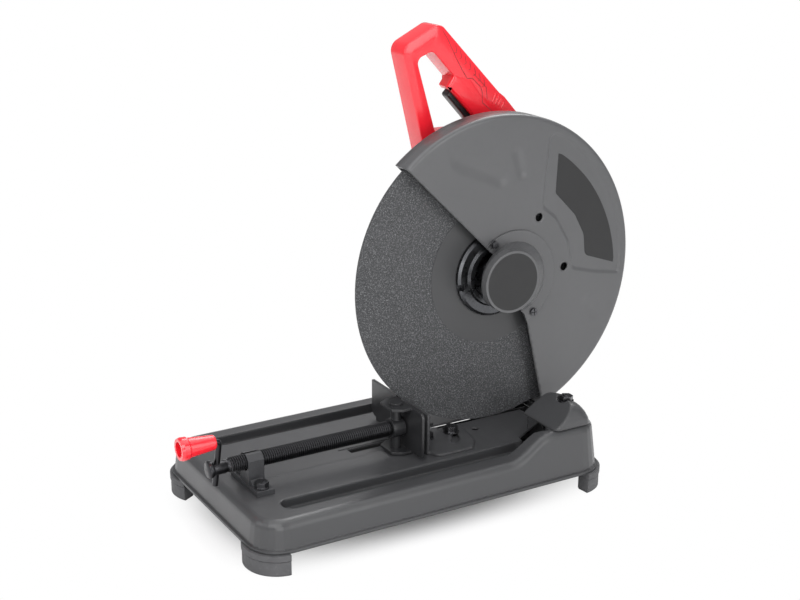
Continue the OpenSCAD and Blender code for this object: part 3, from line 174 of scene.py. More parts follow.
make_camera()
make_world()
make_floor()
area_light("key", (1.5, -1.3, 1.9), (0, 0, 0.2), (1.3, 1.3), 30)
area_light("side", (2.4, 0.9, 1.1), (0, 0.1, 0.25), (1.0, 2.0), 22)
area_light("low", (1.9, -0.7, 0.35), (0, 0, 0.2), (1.2, 0.6), 10)
area_light("rim", (-1.2, 1.5, 2.1), (0, 0.1, 0.3), (1.8, 1.2), 38)
area_light("front", (-0.2, -2.2, 1.2), (0, 0, 0.2), (1.6, 1.2), 14)
area_light("top", (0.0, 0.1, 2.6), (0, 0, 0), (2.4, 2.4), 34)


# ---------- materials ----------

class Shader:
    """Builds one procedural material on object coordinates in metres."""

    def __init__(self, name, colour, roughness, metallic=0.0, coat=0.0):
        self.material = bpy.data.materials.new(name)
        self.material.use_nodes = True
        self.tree = self.material.node_tree
        self.out = self.tree.nodes["Principled BSDF"]
        self.colour = self.rgb(colour)
        self.out.inputs["Roughness"].default_value = roughness
        self.out.inputs["Metallic"].default_value = metallic
        self.out.inputs["Coat Weight"].default_value = coat
        self.rough = roughness
        self.rough_socket = None
        self.height = None
        self.place = self.add("ShaderNodeTexCoord").outputs["Object"]

    def add(self, kind, **values):
        node = self.tree.nodes.new(kind)
        for key, value in values.items():
            setattr(node, key, value)
        return node

    def link(self, a, b):
        self.tree.links.new(a, b)

    def rgb(self, colour):
        node = self.add("ShaderNodeRGB")
        node.outputs[0].default_value = (*colour, 1)
        return node.outputs[0]

    def noise(self, scale, detail, rough=0.5):
        node = self.add("ShaderNodeTexNoise")
        node.inputs["Scale"].default_value = scale
        node.inputs["Detail"].default_value = detail
        node.inputs["Roughness"].default_value = rough
        self.link(self.place, node.inputs["Vector"])
        return node.outputs["Fac"]

    def step(self, value, low, high, to_low=0.0, to_high=1.0):
        """Maps low to high on to to_low to to_high."""
        node = self.add("ShaderNodeMapRange")
        node.inputs["From Min"].default_value = low
        node.inputs["From Max"].default_value = high
        node.inputs["To Min"].default_value = to_low
        node.inputs["To Max"].default_value = to_high
        self.link(value, node.inputs["Value"])
        return node.outputs["Result"]

    def maths(self, op, a, b=None, clamp=False):
        node = self.add("ShaderNodeMath", operation=op, use_clamp=clamp)
        for i, value in enumerate((a, b)):
            if value is None:
                continue
            if isinstance(value, (int, float)):
                node.inputs[i].default_value = value
            else:
                self.link(value, node.inputs[i])
        return node.outputs[0]

    def mix(self, factor, colour):
        """Lays a colour over the base where factor is high."""
        node = self.add("ShaderNodeMix", data_type="RGBA")
        self.link(factor, node.inputs[0])
        self.link(self.colour, node.inputs[6])
        node.inputs[7].default_value = (*colour, 1)
        self.colour = node.outputs[2]

    def vary(self, value, amount):
        """Roughness moves up and down with a value from 0 to 1."""
        self.rough_socket = self.step(value, 0.25, 0.75, self.rough - amount, self.rough + amount)

    def raise_by(self, value, height):
        """Adds a bump of a real height in metres."""
        scaled = self.maths("MULTIPLY", value, height)
        self.height = scaled if self.height is None else self.maths("ADD", self.height, scaled)

    def worn_edges(self, colour, strength, low, high):
        """Lighter colour along sharp outer edges, broken up by noise."""
        point = self.add("ShaderNodeNewGeometry").outputs["Pointiness"]
        edge = self.step(point, low, high)
        broken = self.maths("MULTIPLY", edge, self.step(self.noise(90, 4), 0.35, 0.7), clamp=True)
        self.mix(self.maths("MULTIPLY", broken, strength), colour)

    def done(self, edge):
        """edge: radius in metres that sharp outer edges catch the light with."""
        self.link(self.colour, self.out.inputs["Base Color"])
        bevel = self.add("ShaderNodeBevel", samples=4)
        bevel.inputs["Radius"].default_value = edge
        if self.rough_socket:
            self.link(self.rough_socket, self.out.inputs["Roughness"])
        if self.height:
            bump = self.add("ShaderNodeBump")
            bump.inputs["Distance"].default_value = 1.0
            bump.inputs["Strength"].default_value = 1.0
            self.link(self.height, bump.inputs["Height"])
            self.link(bevel.outputs[0], bump.inputs["Normal"])
            self.link(bump.outputs[0], self.out.inputs["Normal"])
        else:
            self.link(bevel.outputs[0], self.out.inputs["Normal"])
        return self.material


def shaded(colour, factor):
    return tuple(c * factor for c in colour)


def painted(name, colour, rough, grain=0.00002, edge=0.0007):
    """Satin paint over sheet or casting: fine orange peel, faint dust, a little edge wear."""
    s = Shader(name, colour, rough)
    s.mix(s.step(s.noise(9, 4), 0.42, 0.68, 0, 0.3), shaded(colour, 1.2))
    s.mix(s.step(s.noise(140, 2), 0.5, 0.8, 0, 0.2), shaded(colour, 0.82))
    s.vary(s.noise(30, 3), 0.04)
    s.raise_by(s.noise(420, 2, 0.5), grain)
    s.worn_edges(tuple(min(1, c * 1.9 + 0.02) for c in colour), 0.2, 0.54, 0.64)
    return s.done(edge)


def metal(name, colour, rough, edge=0.0005):
    """Bare or plated metal with faint clouds and a fine grain."""
    s = Shader(name, colour, rough, metallic=1.0)
    s.mix(s.step(s.noise(60, 4), 0.4, 0.7, 0, 0.3), shaded(colour, 0.7))
    s.vary(s.noise(200, 3), 0.08)
    s.raise_by(s.noise(500, 2), 0.00001)
    return s.done(edge)


def plastic(name, colour, rough, grain, coat=0.0, blotch=0.2, edge=0.0006):
    """Moulded plastic, or a printed or smooth dark area; blotch is how strong its clouds are."""
    s = Shader(name, colour, rough, coat=coat)
    s.mix(s.step(s.noise(14, 3), 0.4, 0.7, 0, blotch), shaded(colour, 0.75))
    s.vary(s.noise(60, 3), 0.03)
    s.raise_by(s.noise(900, 2), grain)
    return s.done(edge)


def rubber(name):
    """Dusty grey rubber with pale rubbed spots."""
    s = Shader(name, (0.062, 0.062, 0.065), 0.7)
    s.mix(s.step(s.noise(22, 4, 0.6), 0.4, 0.66, 0, 0.6), (0.1, 0.1, 0.104))
    s.mix(s.step(s.noise(260, 3, 0.7), 0.58, 0.74, 0, 0.5), (0.15, 0.15, 0.154))
    s.raise_by(s.noise(300, 3), 0.00008)
    return s.done(0.001)


def casting(name, colour):
    """Sand-cast skin under paint."""
    s = Shader(name, colour, 0.46)
    s.mix(s.step(s.noise(35, 4, 0.6), 0.42, 0.66, 0, 0.45), shaded(colour, 1.5))
    s.mix(s.step(s.noise(420, 3, 0.7), 0.56, 0.72, 0, 0.4), shaded(colour, 2.3))
    s.vary(s.noise(120, 3), 0.07)
    s.raise_by(s.noise(260, 4, 0.6), 0.00022)
    s.raise_by(s.noise(800, 2), 0.00005)
    return s.done(0.0008)


def radius_from_spindle(s):
    """Distance from the spindle's axis, in metres."""
    split = s.add("ShaderNodeSeparateXYZ")
    s.link(s.place, split.inputs[0])
    dy = s.maths("SUBTRACT", split.outputs["Y"], SPINDLE.y)
    dz = s.maths("SUBTRACT", split.outputs["Z"], SPINDLE.z)
    return s.maths("SQRT", s.maths("ADD", s.maths("MULTIPLY", dy, dy), s.maths("MULTIPLY", dz, dz)))


# radius of the wheel's paper label, in metres
LABEL_R = 0.0827


def abrasive(name):
    """Resin-bonded grit: dark binder with pale and black grains; the paper label near the hub is smooth."""
    s = Shader(name, (0.030, 0.031, 0.033), 0.62)
    # two sizes of pale grain, sharp against the binder
    s.mix(s.step(s.noise(560, 2, 0.6), 0.55, 0.64, 0, 0.85), (0.115, 0.117, 0.122))
    s.mix(s.step(s.noise(900, 2, 0.7), 0.57, 0.66, 0, 0.8), (0.2, 0.203, 0.21))
    s.mix(s.step(s.noise(700, 2), 0.33, 0.42, 0.9, 0), (0.008, 0.008, 0.009))
    s.mix(s.step(s.noise(12, 3), 0.4, 0.7, 0, 0.15), (0.07, 0.07, 0.073))
    s.raise_by(s.noise(620, 2, 0.6), 0.00045)
    s.raise_by(s.noise(1300, 1), 0.0001)
    grit_height = s.height
    label = s.step(radius_from_spindle(s), LABEL_R - 0.0008, LABEL_R + 0.0002, 1, 0)
    s.mix(label, (0.036, 0.0365, 0.038))
    s.height = s.maths("MULTIPLY", grit_height, s.maths("SUBTRACT", 1.0, label))
    s.rough_socket = s.step(label, 0, 1, 0.62, 0.42)
    return s.done(0.0004)


M = {
    "pan": painted("pan_paint", (0.040, 0.0405, 0.0425), 0.33, edge=0.0034),
    "guard": painted("guard_paint", (0.074, 0.0745, 0.077), 0.34),
    "black": painted("black_paint", (0.016, 0.0162, 0.0175), 0.3, edge=0.001),
    "cast": casting("cast_paint", (0.026, 0.0265, 0.029)),
    "housing": painted("housing_paint", (0.1, 0.101, 0.106), 0.45, 0.00005),
    "rubber": rubber("foot_rubber"),
    "red": plastic("red_plastic", (0.74, 0.012, 0.024), 0.24, 0.000004, coat=0.35, blotch=0.0,
                   edge=0.001),
    "black_plastic": plastic("black_plastic", (0.014, 0.014, 0.015), 0.36, 0.00002),
    "zinc": metal("zinc", (0.55, 0.56, 0.57), 0.32),
    "dark_zinc": metal("dark_zinc", (0.10, 0.10, 0.106), 0.3),
    "steel": metal("ground_steel", (0.62, 0.63, 0.64), 0.22),
    "chrome": metal("dark_chrome", (0.085, 0.087, 0.092), 0.3),
    "black_steel": metal("black_steel", (0.045, 0.045, 0.048), 0.36, edge=0.0002),
    "winding": metal("winding", (0.5, 0.25, 0.1), 0.35),
    "copper": metal("copper", (0.72, 0.36, 0.2), 0.3),
    "brass": metal("brass", (0.75, 0.56, 0.26), 0.3),
    "carbon": plastic("carbon", (0.02, 0.02, 0.021), 0.6, 0.00002),
    # dark red of painted shadow for the grip's seam lines and its ribs
    "seam": plastic("seam_shadow", (0.16, 0.004, 0.007), 0.6, 0.000004, blotch=0.0),
    # near-black of the printed areas, also used on the sheets under the deck as painted shade
    "panel": plastic("print_and_painted_shade", (0.0065, 0.0065, 0.007), 0.5, 0.000003, blotch=0.0, edge=0.0001),
    "abrasive": abrasive("abrasive"),
}

LOOKS = {
    "pan": ["base_pan", "rear_cover", "fence_plate"],
    "guard": ["guard_cover", "guard_back", "hub_cover"],
    "black": ["fence_left", "jaw_pin", "vise_jaw"],
    "cast": ["spindle_block", "pivot_bracket"],
    "housing": ["gear_housing", "bearing_plate"],
    "rubber": ["rubber_feet"],
    "red": ["crank_grip", "handle_left", "handle_right"],
    "black_plastic": ["motor_housing", "end_cover", "brush_caps", "switch_body", "cord_gland", "trigger",
                      "lock_off_button", "spindle_lock", "cooling_fan"],
    "zinc": ["foot_screws", "return_spring", "guard_screws", "handle_screws", "inner_flange"],
    "dark_zinc": ["cover_bolt", "block_bolts", "fence_left_bolts", "fence_pivot_bolt", "fence_clamp_bolt",
                  "bracket_bolts", "pin_rings", "cover_screw", "wing_bolt", "depth_stop", "arbor_washer",
                  "arbor_bolt"],
    "steel": ["pivot_pin", "spindle_bearings", "motor_bearings", "spindle", "drive_gear", "motor_shaft",
              "armature_core"],
    "chrome": ["outer_flange"],
    "black_steel": ["vise_screw", "crank_rod"],
    "winding": ["field_core"],
    "copper": ["commutator"],
    "brass": ["brush_holders"],
    "carbon": ["carbon_brushes"],
    "abrasive": ["abrasive_wheel"],
}


def paint_nodes():
    for look, names in LOOKS.items():
        for name in names:
            mesh = NODES[name].data
            mesh.materials.clear()
            mesh.materials.append(M[look])


paint_nodes()


# ---------- how pieces are made ----------

def piece(name, verts, faces, look, body, slot, merge, angle):
    """One mesh in millimetres in the shared frame, riding a body.

    merge: distance at which doubled points join, or None. angle: degrees from which an edge is sharp.
    """
    mesh = bpy.data.meshes.new(name)
    mesh.from_pydata([Vector(v) * MM for v in verts], [], faces)
    if merge:
        edit = bmesh.new()
        edit.from_mesh(mesh)
        bmesh.ops.remove_doubles(edit, verts=edit.verts, dist=merge * MM)
        bmesh.ops.recalc_face_normals(edit, faces=edit.faces)
        edit.to_mesh(mesh)
        edit.free()
    mesh.materials.append(M[look])
    mesh.shade_smooth()
    mesh.set_sharp_from_angle(angle=math.radians(angle))
    obj = bpy.data.objects.new(name, mesh)
    scene.collection.objects.link(obj)
    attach(obj, body)
    return obj


def grid_faces(rows, columns, wrap=False, offset=0):
    """Quads over rows of points, the first of which is point number offset; wrap closes each row."""
    faces = []
    for i in range(rows - 1):
        for j in range(columns if wrap else columns - 1):
            k = (j + 1) % columns
            faces.append((offset + i * columns + j, offset + i * columns + k,
                          offset + (i + 1) * columns + k, offset + (i + 1) * columns + j))
    return faces


def circle(x, y, r, steps):
    """Points of a whole circle about (x, y)."""
    angles = [math.tau * k / steps for k in range(steps)]
    return [(x + r * math.cos(a), y + r * math.sin(a)) for a in angles]


def arc(r, start, end, steps):
    """Points on a circle about the origin between two angles in degrees."""
    angles = [math.radians(start + (end - start) * k / steps) for k in range(steps + 1)]
    return [(r * math.cos(a), r * math.sin(a)) for a in angles]


def middle_of(triangle, points):
    return sum(points[k].x for k in triangle) / 3, sum(points[k].y for k in triangle) / 3


def ease(t):
    """Smooth step from 0 to 1."""
    t = min(1.0, max(0.0, t))
    return t * t * (3 - 2 * t)


# ---------- vise screw ----------

def vise_screw():
    """The thread cut as a helix, with the hub and the tip turned about the same line."""
    low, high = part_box("vise_screw")
    vx, sz = (low.x + high.x) / 2 / MM, (low.z + high.z) / 2 / MM
    y0, y1 = low.y / MM, high.y / MM
    pitch, major, minor = 2.5, 8.7, 7.2
    hub_length, tip_length, run_out_length = 23.5, 13, 2.5
    sides, per_pitch = 48, 10
    start, end = y0 + hub_length, y1 - tip_length
    rows = int((end - start) / pitch * per_pitch) + per_pitch + 1
    verts = []
    for k in range(rows):
        phase = (k % per_pitch) / per_pitch
        wave = ease(1 - abs(phase - 0.5) * 2.6 + 0.15)
        for j in range(sides + 1):
            a = math.tau * j / sides
            y = start + pitch * (k / per_pitch + j / sides - 1)
            run_out = ease((min(y - start, end - y) + 0.4) / run_out_length)
            r = minor + (major - minor) * wave * run_out
            y = min(end, max(start, y))
            verts.append((vx + r * math.sin(a), y, sz + r * math.cos(a)))
    faces = grid_faces(rows, sides + 1)
    hub = [(y0, 0), (y0, 8.4), (y0 + 0.9, 9.3), (y0 + 4.8, 9.3), (y0 + 5.7, 8.4), (y0 + 6.2, 7.4),
           (start - 4, 7.4), (start - 3.2, 6.6), (start - 1.2, 6.6), (start, minor)]
    tip = [(end, minor), (end + 0.6, 7), (end + 1.2, 6.9), (y1 - 1, 6.9), (y1, 6), (y1, 0)]
    for outline in (hub, tip):
        base = len(verts)
        for y, r in outline:
            for j in range(sides):
                a = math.tau * j / sides
                verts.append((vx + r * math.sin(a), y, sz + r * math.cos(a)))
        faces += grid_faces(len(outline), sides, True, base)
    obj = piece("screw_thread", verts, faces, "black_steel", "screw", "black_paint", 0.002, 50)
    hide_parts("vise_screw")


vise_screw()


# ---------- the guard's outer cover: one sheet with a field pressed in behind a soft shoulder ----------

# (y, z) points on the guard are counted from the spindle
EDGE_R = 5.0
WALL = 1.6
GUARD_R = (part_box("guard_back")[1].z - SPINDLE.z) / MM
ARC_STEPS = 200

# the mouth's outline near the hub, and the two rays (point, direction) along which it runs out to the rim
MOUTH = [(-8.2, 24.5), (-8.2, -10), (12, -30), (34, -50), (40.8, -63.8)]
UPPER_TILT, LOWER_LEAN = math.radians(44.3), 0.24
MOUTH_TOP = (MOUTH[0], (-math.cos(UPPER_TILT), math.sin(UPPER_TILT)))
MOUTH_LOW = (MOUTH[-1], (LOWER_LEAN / math.hypot(1, LOWER_LEAN), -1 / math.hypot(1, LOWER_LEAN)))

# holes as (y, z, radius); the hub's is cut open by the mouth
HUB_R = 31.0
SMALL_HOLES = [(52.1, 62.2, 5.0), (90.3, -1.8, 5.0), (46.9, -49.6, 2.7), (-10.6, 39.6, 2.7)]
HOLES = SMALL_HOLES + [(0.0, 0.0, HUB_R)]

# shallow pressings as (from, to, half width, depth)
DENTS = [((-57, 138), (-2, 114), 14, 1.6), ((19, 140), (26, 117), 9, 1.4), ((128, -52), (138, -64), 14, 1.2)]


def angle_on_circle(ray, r):
    """Angle at which a ray leaves the circle of radius r about the spindle."""
    (py, pz), (dy, dz) = ray
    b = py * dy + pz * dz
    t = -b + math.sqrt(b * b - (py * py + pz * pz - r * r))
    return math.atan2(pz + dz * t, py + dy * t)


def rounded(points, n=6):
    """Closed outline of (y, z, radius) corners, each rounded in n steps."""
    out = []
    for i, (y, z, r) in enumerate(points):
        a = Vector(points[i - 1][:2]) - Vector((y, z))
        b = Vector(points[(i + 1) % len(points)][:2]) - Vector((y, z))
        a.normalize()
        b.normalize()
        half = a.angle(b) / 2
        if r <= 0 or half > math.radians(89):
            out.append((y, z))
            continue
        reach = r / math.tan(half)
        mid = Vector((y, z)) + (a + b).normalized() * (r / math.sin(half))
        p, q = Vector((y, z)) + a * reach, Vector((y, z)) + b * reach
        for k in range(n + 1):
            d = (p - mid).lerp(q - mid, k / n).normalized() * r
            out.append(tuple(mid + d))
    return out


def distance_to(outline, y, z):
    """Signed distance to a closed outline, positive inside."""
    best, inside = 1e9, False
    for i in range(len(outline)):
        (ay, az), (by, bz) = outline[i - 1], outline[i]
        dy, dz = by - ay, bz - az
        t = max(0.0, min(1.0, ((y - ay) * dy + (z - az) * dz) / max(1e-9, dy * dy + dz * dz)))
        best = min(best, math.hypot(y - ay - t * dy, z - az - t * dz))
        if (az > z) != (bz > z) and y < (by - ay) * (z - az) / (bz - az) + ay:
            inside = not inside
    return best if inside else -best


# the pressed field: its outer side follows the rim, its inner side runs round the hub
FIELD_R = GUARD_R - EDGE_R - 6
FIELD_DROP = 1.9
SHOULDER = 4.4
FIELD_START = math.radians(68)
FIELD = rounded([(FIELD_R * math.cos(FIELD_START), FIELD_R * math.sin(FIELD_START), 8),
                 (57.9, 96, 40), (57.8, 72.5, 9), (76.5, 58.2, 14), (95.5, 27.5, 22), (102.5, -6, 8),
                 (140, -16, 20)]
                + [(FIELD_R * math.cos(math.radians(a)), FIELD_R * math.sin(math.radians(a)), 0)
                   for a in range(-7, 64, 4)])


def beside(outline, offset, spacing):
    """Points spaced along a counter-clockwise outline, offset to its outer side or, below 0, inwards."""
    out = []
    for i, (ay, az) in enumerate(outline):
        by, bz = outline[(i + 1) % len(outline)]
        run = math.hypot(by - ay, bz - az)
        if run < 1e-6:
            continue
        n = max(1, round(run / spacing))
        for k in range(n):
            q = (ay + (by - ay) * k / n + (bz - az) / run * offset,
                 az + (bz - az) * k / n - (by - ay) / run * offset)
            if all(math.hypot(q[0] - w[0], q[1] - w[1]) > spacing * 0.6 for w in out[-3:]):
                out.append(q)
    return out


def dent(y, z, a, b, width, depth):
    """How deep a shallow pressing along the line from a to b is at (y, z)."""
    dy, dz = b[0] - a[0], b[1] - a[1]
    t = max(0.0, min(1.0, ((y - a[0]) * dy + (z - a[1]) * dz) / (dy * dy + dz * dz)))
    d = math.hypot(y - a[0] - t * dy, z - a[1] - t * dz)
    return depth * ease(1 - d / width)


def guard_height(y, z):
    """How far the sheet lies below its flat face."""
    drop = FIELD_DROP * ease((distance_to(FIELD, y, z) + 2.0) / SHOULDER)
    for a, b, width, depth in DENTS:
        drop += dent(y, z, a, b, width, depth)
    return drop


def guard_cover():
    flat_r = GUARD_R - EDGE_R
    edge_clear, hole_clear, spread = 1.5, 1.2, 3.2

    def ring(r):
        """Angles from the mouth's lower side round to its upper side on a circle of radius r."""
        top, low = angle_on_circle(MOUTH_TOP, r), angle_on_circle(MOUTH_LOW, r)
        return [low + (top - low) * i / ARC_STEPS for i in range(ARC_STEPS + 1)]

    path = [(flat_r * math.cos(a), flat_r * math.sin(a)) for a in ring(flat_r)] + MOUTH
    # the same outline with its long arc thinned out, for quick distances
    coarse = path[:ARC_STEPS + 1:4] + path[ARC_STEPS + 1:]
    points, edges = [], []

    def add_loop(loop, spacing):
        first = len(points)
        for i, (ay, az) in enumerate(loop):
            by, bz = loop[(i + 1) % len(loop)]
            n = max(1, int(math.hypot(by - ay, bz - az) / spacing))
            for k in range(n):
                points.append(Vector((ay + (by - ay) * k / n, az + (bz - az) * k / n)))
        count = len(points) - first
        edges.extend((first + i, first + (i + 1) % count) for i in range(count))

    def is_clear(y, z):
        """Inside the outline and not too near to it or to a hole's edge."""
        return (math.hypot(y, z) < flat_r - edge_clear and distance_to(coarse, y, z) > edge_clear
                and all(abs(math.hypot(y - hy, z - hz) - hr) > hole_clear for hy, hz, hr in HOLES))

    add_loop(path, 4.0)
    for hole in SMALL_HOLES:
        add_loop(circle(*hole, 32), 5)
    # this loop crosses the mouth's, and the triangulation splits both where they meet
    add_loop(circle(0, 0, HUB_R, 90), 5)
    # staggered points over the face, then closer rows along the field's shoulder
    n = int(flat_r / spread) + 1
    for i in range(-n, n + 1):
        for j in range(-n, n + 1):
            y, z = (i + 0.5 * (j % 2)) * spread, j * spread * 0.87
            if is_clear(y, z) and abs(distance_to(FIELD, y, z)) >= SHOULDER:
                points.append(Vector((y, z)))
    for offset in (3.2, 2.1, 1.1, 0.1, -0.9, -1.9, -3.0):
        points += [Vector(q) for q in beside(FIELD, offset, 2.2) if is_clear(*q)]
    got, _, tris, _, _, _ = delaunay_2d_cdt(points, edges, [], 0, 1e-4)
    verts = [(FACE - guard_height(v.x, v.y), SY + v.x, SZ + v.y) for v in got]
    faces = []
    for t in tris:
        cy, cz = middle_of(t, got)
        in_hole = any(math.hypot(cy - hy, cz - hz) < hr for hy, hz, hr in HOLES)
        if not in_hole and distance_to(coarse, cy, cz) >= 0:
            faces.append(tuple(t))
    # rounded edge and deep rim
    rim_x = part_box("guard_cover")[0].x / MM
    profile = [(FACE - EDGE_R + c, flat_r + d) for c, d in arc(EDGE_R, 0, 90, 8)]
    profile += [(rim_x + 12, GUARD_R), (rim_x, GUARD_R)]
    base = len(verts)
    for x, r in profile:
        for a in ring(r):
            verts.append((x, SY + r * math.cos(a), SZ + r * math.sin(a)))
    faces += grid_faces(len(profile), ARC_STEPS + 1, False, base)
    obj = piece("guard_sheet", verts, faces, "guard", "head", "guard_grey", 0.02, 30)
    edit = bmesh.new()
    edit.from_mesh(obj.data)
    loose = [v for v in edit.verts if not v.link_faces]
    bmesh.ops.delete(edit, geom=loose, context="VERTS")
    bmesh.ops.recalc_face_normals(edit, faces=edit.faces)
    if sum(f.normal.x * f.calc_area() for f in edit.faces) < 0:
        bmesh.ops.reverse_faces(edit, faces=edit.faces)
    edit.to_mesh(obj.data)
    edit.free()
    thick = obj.modifiers.new("wall", "SOLIDIFY")
    thick.thickness = WALL * MM
    thick.offset = -1
    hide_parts("guard_cover")


def between(stops, t):
    """Value at t on the straight lines through (t, value) stops."""
    for (t0, v0), (t1, v1) in zip(stops, stops[1:]):
        if t <= t1:
            k = (t - t0) / (t1 - t0)
            return v0 + (v1 - v0) * k
    return stops[-1][1]


guard_cover()


# ---------- bare dark panel in the pressed field, and the bare disc on the cap ----------

PANEL_LIFT, PANEL_THICK = 0.2, 0.15


def panel():
    outline = rounded([(77.4, 134.5, 0.6), (75.4, 87, 5), (104.3, 58.5, 22), (118.6, 33, 20), (121.6, 7.2, 8),
                       (165.3, -7.9, 0.6)], 5)
    # outer side as (angle in degrees, radius)
    stops = [(-2.7, 165.5), (9.3, 161.8), (21.3, 158.6), (32.2, 156.7), (47.1, 155), (60.1, 155.2)]
    steps = 32
    for k in range(1, steps):
        a = stops[0][0] + (stops[-1][0] - stops[0][0]) * k / steps
        r = between(stops, a)
        outline.append((r * math.cos(math.radians(a)), r * math.sin(math.radians(a))))
    x1 = FACE - FIELD_DROP + PANEL_LIFT
    verts = [(x, SY + y, SZ + z) for x in (x1 - PANEL_THICK, x1) for y, z in outline]
    n = len(outline)
    faces = [(i, (i + 1) % n, n + (i + 1) % n, n + i) for i in range(n)]
    faces += [tuple(range(n, 2 * n)), tuple(reversed(range(n)))]
    piece("guard_panel", verts, faces, "panel", "head", "guard_grey", 0.001, 30)


def cap_disc():
    """Closed profile of (x, radius) turned about the spindle's line."""
    cap_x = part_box("hub_cover")[1].x / MM
    profile = [(cap_x - 0.3, 0.01), (cap_x - 0.3, 33.3), (cap_x + 0.1, 33.1), (cap_x + 0.12, 0.01)]
    steps = 96
    verts = [(x, y, z) for x, r in profile + profile[:1] for y, z in circle(SY, SZ, r, steps)]
    faces = grid_faces(len(profile) + 1, steps, True)
    piece("cap_disc", verts, faces, "panel", "cover", "guard_grey", 0.001, 30)


panel()
cap_disc()


# ---------- feet, rear cap and inner sheets of the pan ----------

def prism(outline, z0, z1):
    """Verts and faces of a straight block over a closed outline."""
    points = [Vector(p) for p in outline]
    edges = [(k, (k + 1) % len(points)) for k in range(len(points))]
    got, _, tris, _, _, _ = delaunay_2d_cdt(points, edges, [], 0, 1e-5)
    keep = [tuple(t) for t in tris if distance_to(outline, *middle_of(t, got)) > 0]
    n = len(got)
    verts = [(v.x, v.y, z) for z in (z0, z1) for v in got]
    faces = [tuple(reversed(t)) for t in keep] + [tuple(n + k for k in t) for t in keep]
    base = len(verts)
    m = len(outline)
    verts += [(x, y, z) for z in (z0, z1) for x, y in outline]
    faces += [(base + k, base + (k + 1) % m, base + m + (k + 1) % m, base + m + k) for k in range(m)]
    return verts, faces


def join(parts):
    """Verts and faces of several parts as one."""
    verts, faces = [], []
    for v, f in parts:
        base = len(verts)
        verts += v
        faces += [tuple(base + i for i in face) for face in f]
    return verts, faces


def placed(part, sides, shift):
    """Mirrored in X and Y where a side is -1, and then shifted."""
    verts, faces = part
    verts = [(x * sides[0] + shift[0], y * sides[1] + shift[1], z) for x, y, z in verts]
    if sides[0] * sides[1] < 0:
        faces = [tuple(reversed(f)) for f in faces]
    return verts, faces


BASE_LOW, BASE_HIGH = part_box("base_pan")
PAN_BOTTOM = BASE_LOW.z / MM
FOOT_INSET = 35
FOOT_X, FOOT_Y = BASE_HIGH.x / MM - FOOT_INSET, BASE_HIGH.y / MM - FOOT_INSET


def feet():
    """Curved rubber walls that hug the pan's corners, open towards the middle."""
    def wall(outer, inner, z0, z1):
        return prism(arc(outer, 5, 121, 32) + arc(inner, 121, 5, 20), z0, z1)

    one = join([wall(36.2, 22, 0, 1.2), wall(37.2, 21, 1.0, PAN_BOTTOM - 7.4),
                wall(36.6, 21.5, PAN_BOTTOM - 7.6, PAN_BOTTOM - 6.4),
                wall(38, 21, PAN_BOTTOM - 6.6, PAN_BOTTOM - 0.05)])
    four = join([placed(one, (sx, sy), (sx * FOOT_X, sy * FOOT_Y)) for sx in (1, -1) for sy in (1, -1)])
    obj = piece("corner_feet", *four, "rubber", "base", "foot_rubber", None, 25)
    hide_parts("rubber_feet", "foot_screws")


feet()


def cut_away(obj, cutter_verts, cutter_faces):
    """Subtracts a closed mesh from a piece and keeps only the result."""
    mesh = bpy.data.meshes.new("cutter")
    mesh.from_pydata([Vector(v) * MM for v in cutter_verts], [], cutter_faces)
    cutter = bpy.data.objects.new("cutter", mesh)
    scene.collection.objects.link(cutter)
    cut = obj.modifiers.new("cut", "BOOLEAN")
    cut.operation = "DIFFERENCE"
    cut.solver = "EXACT"
    cut.object = cutter
    bpy.context.view_layer.update()
    done = bpy.data.meshes.new_from_object(obj.evaluated_get(bpy.context.evaluated_depsgraph_get()))
    obj.modifiers.clear()
    obj.data = done
    done.set_sharp_from_angle(angle=math.radians(35))
    bpy.data.objects.remove(cutter)


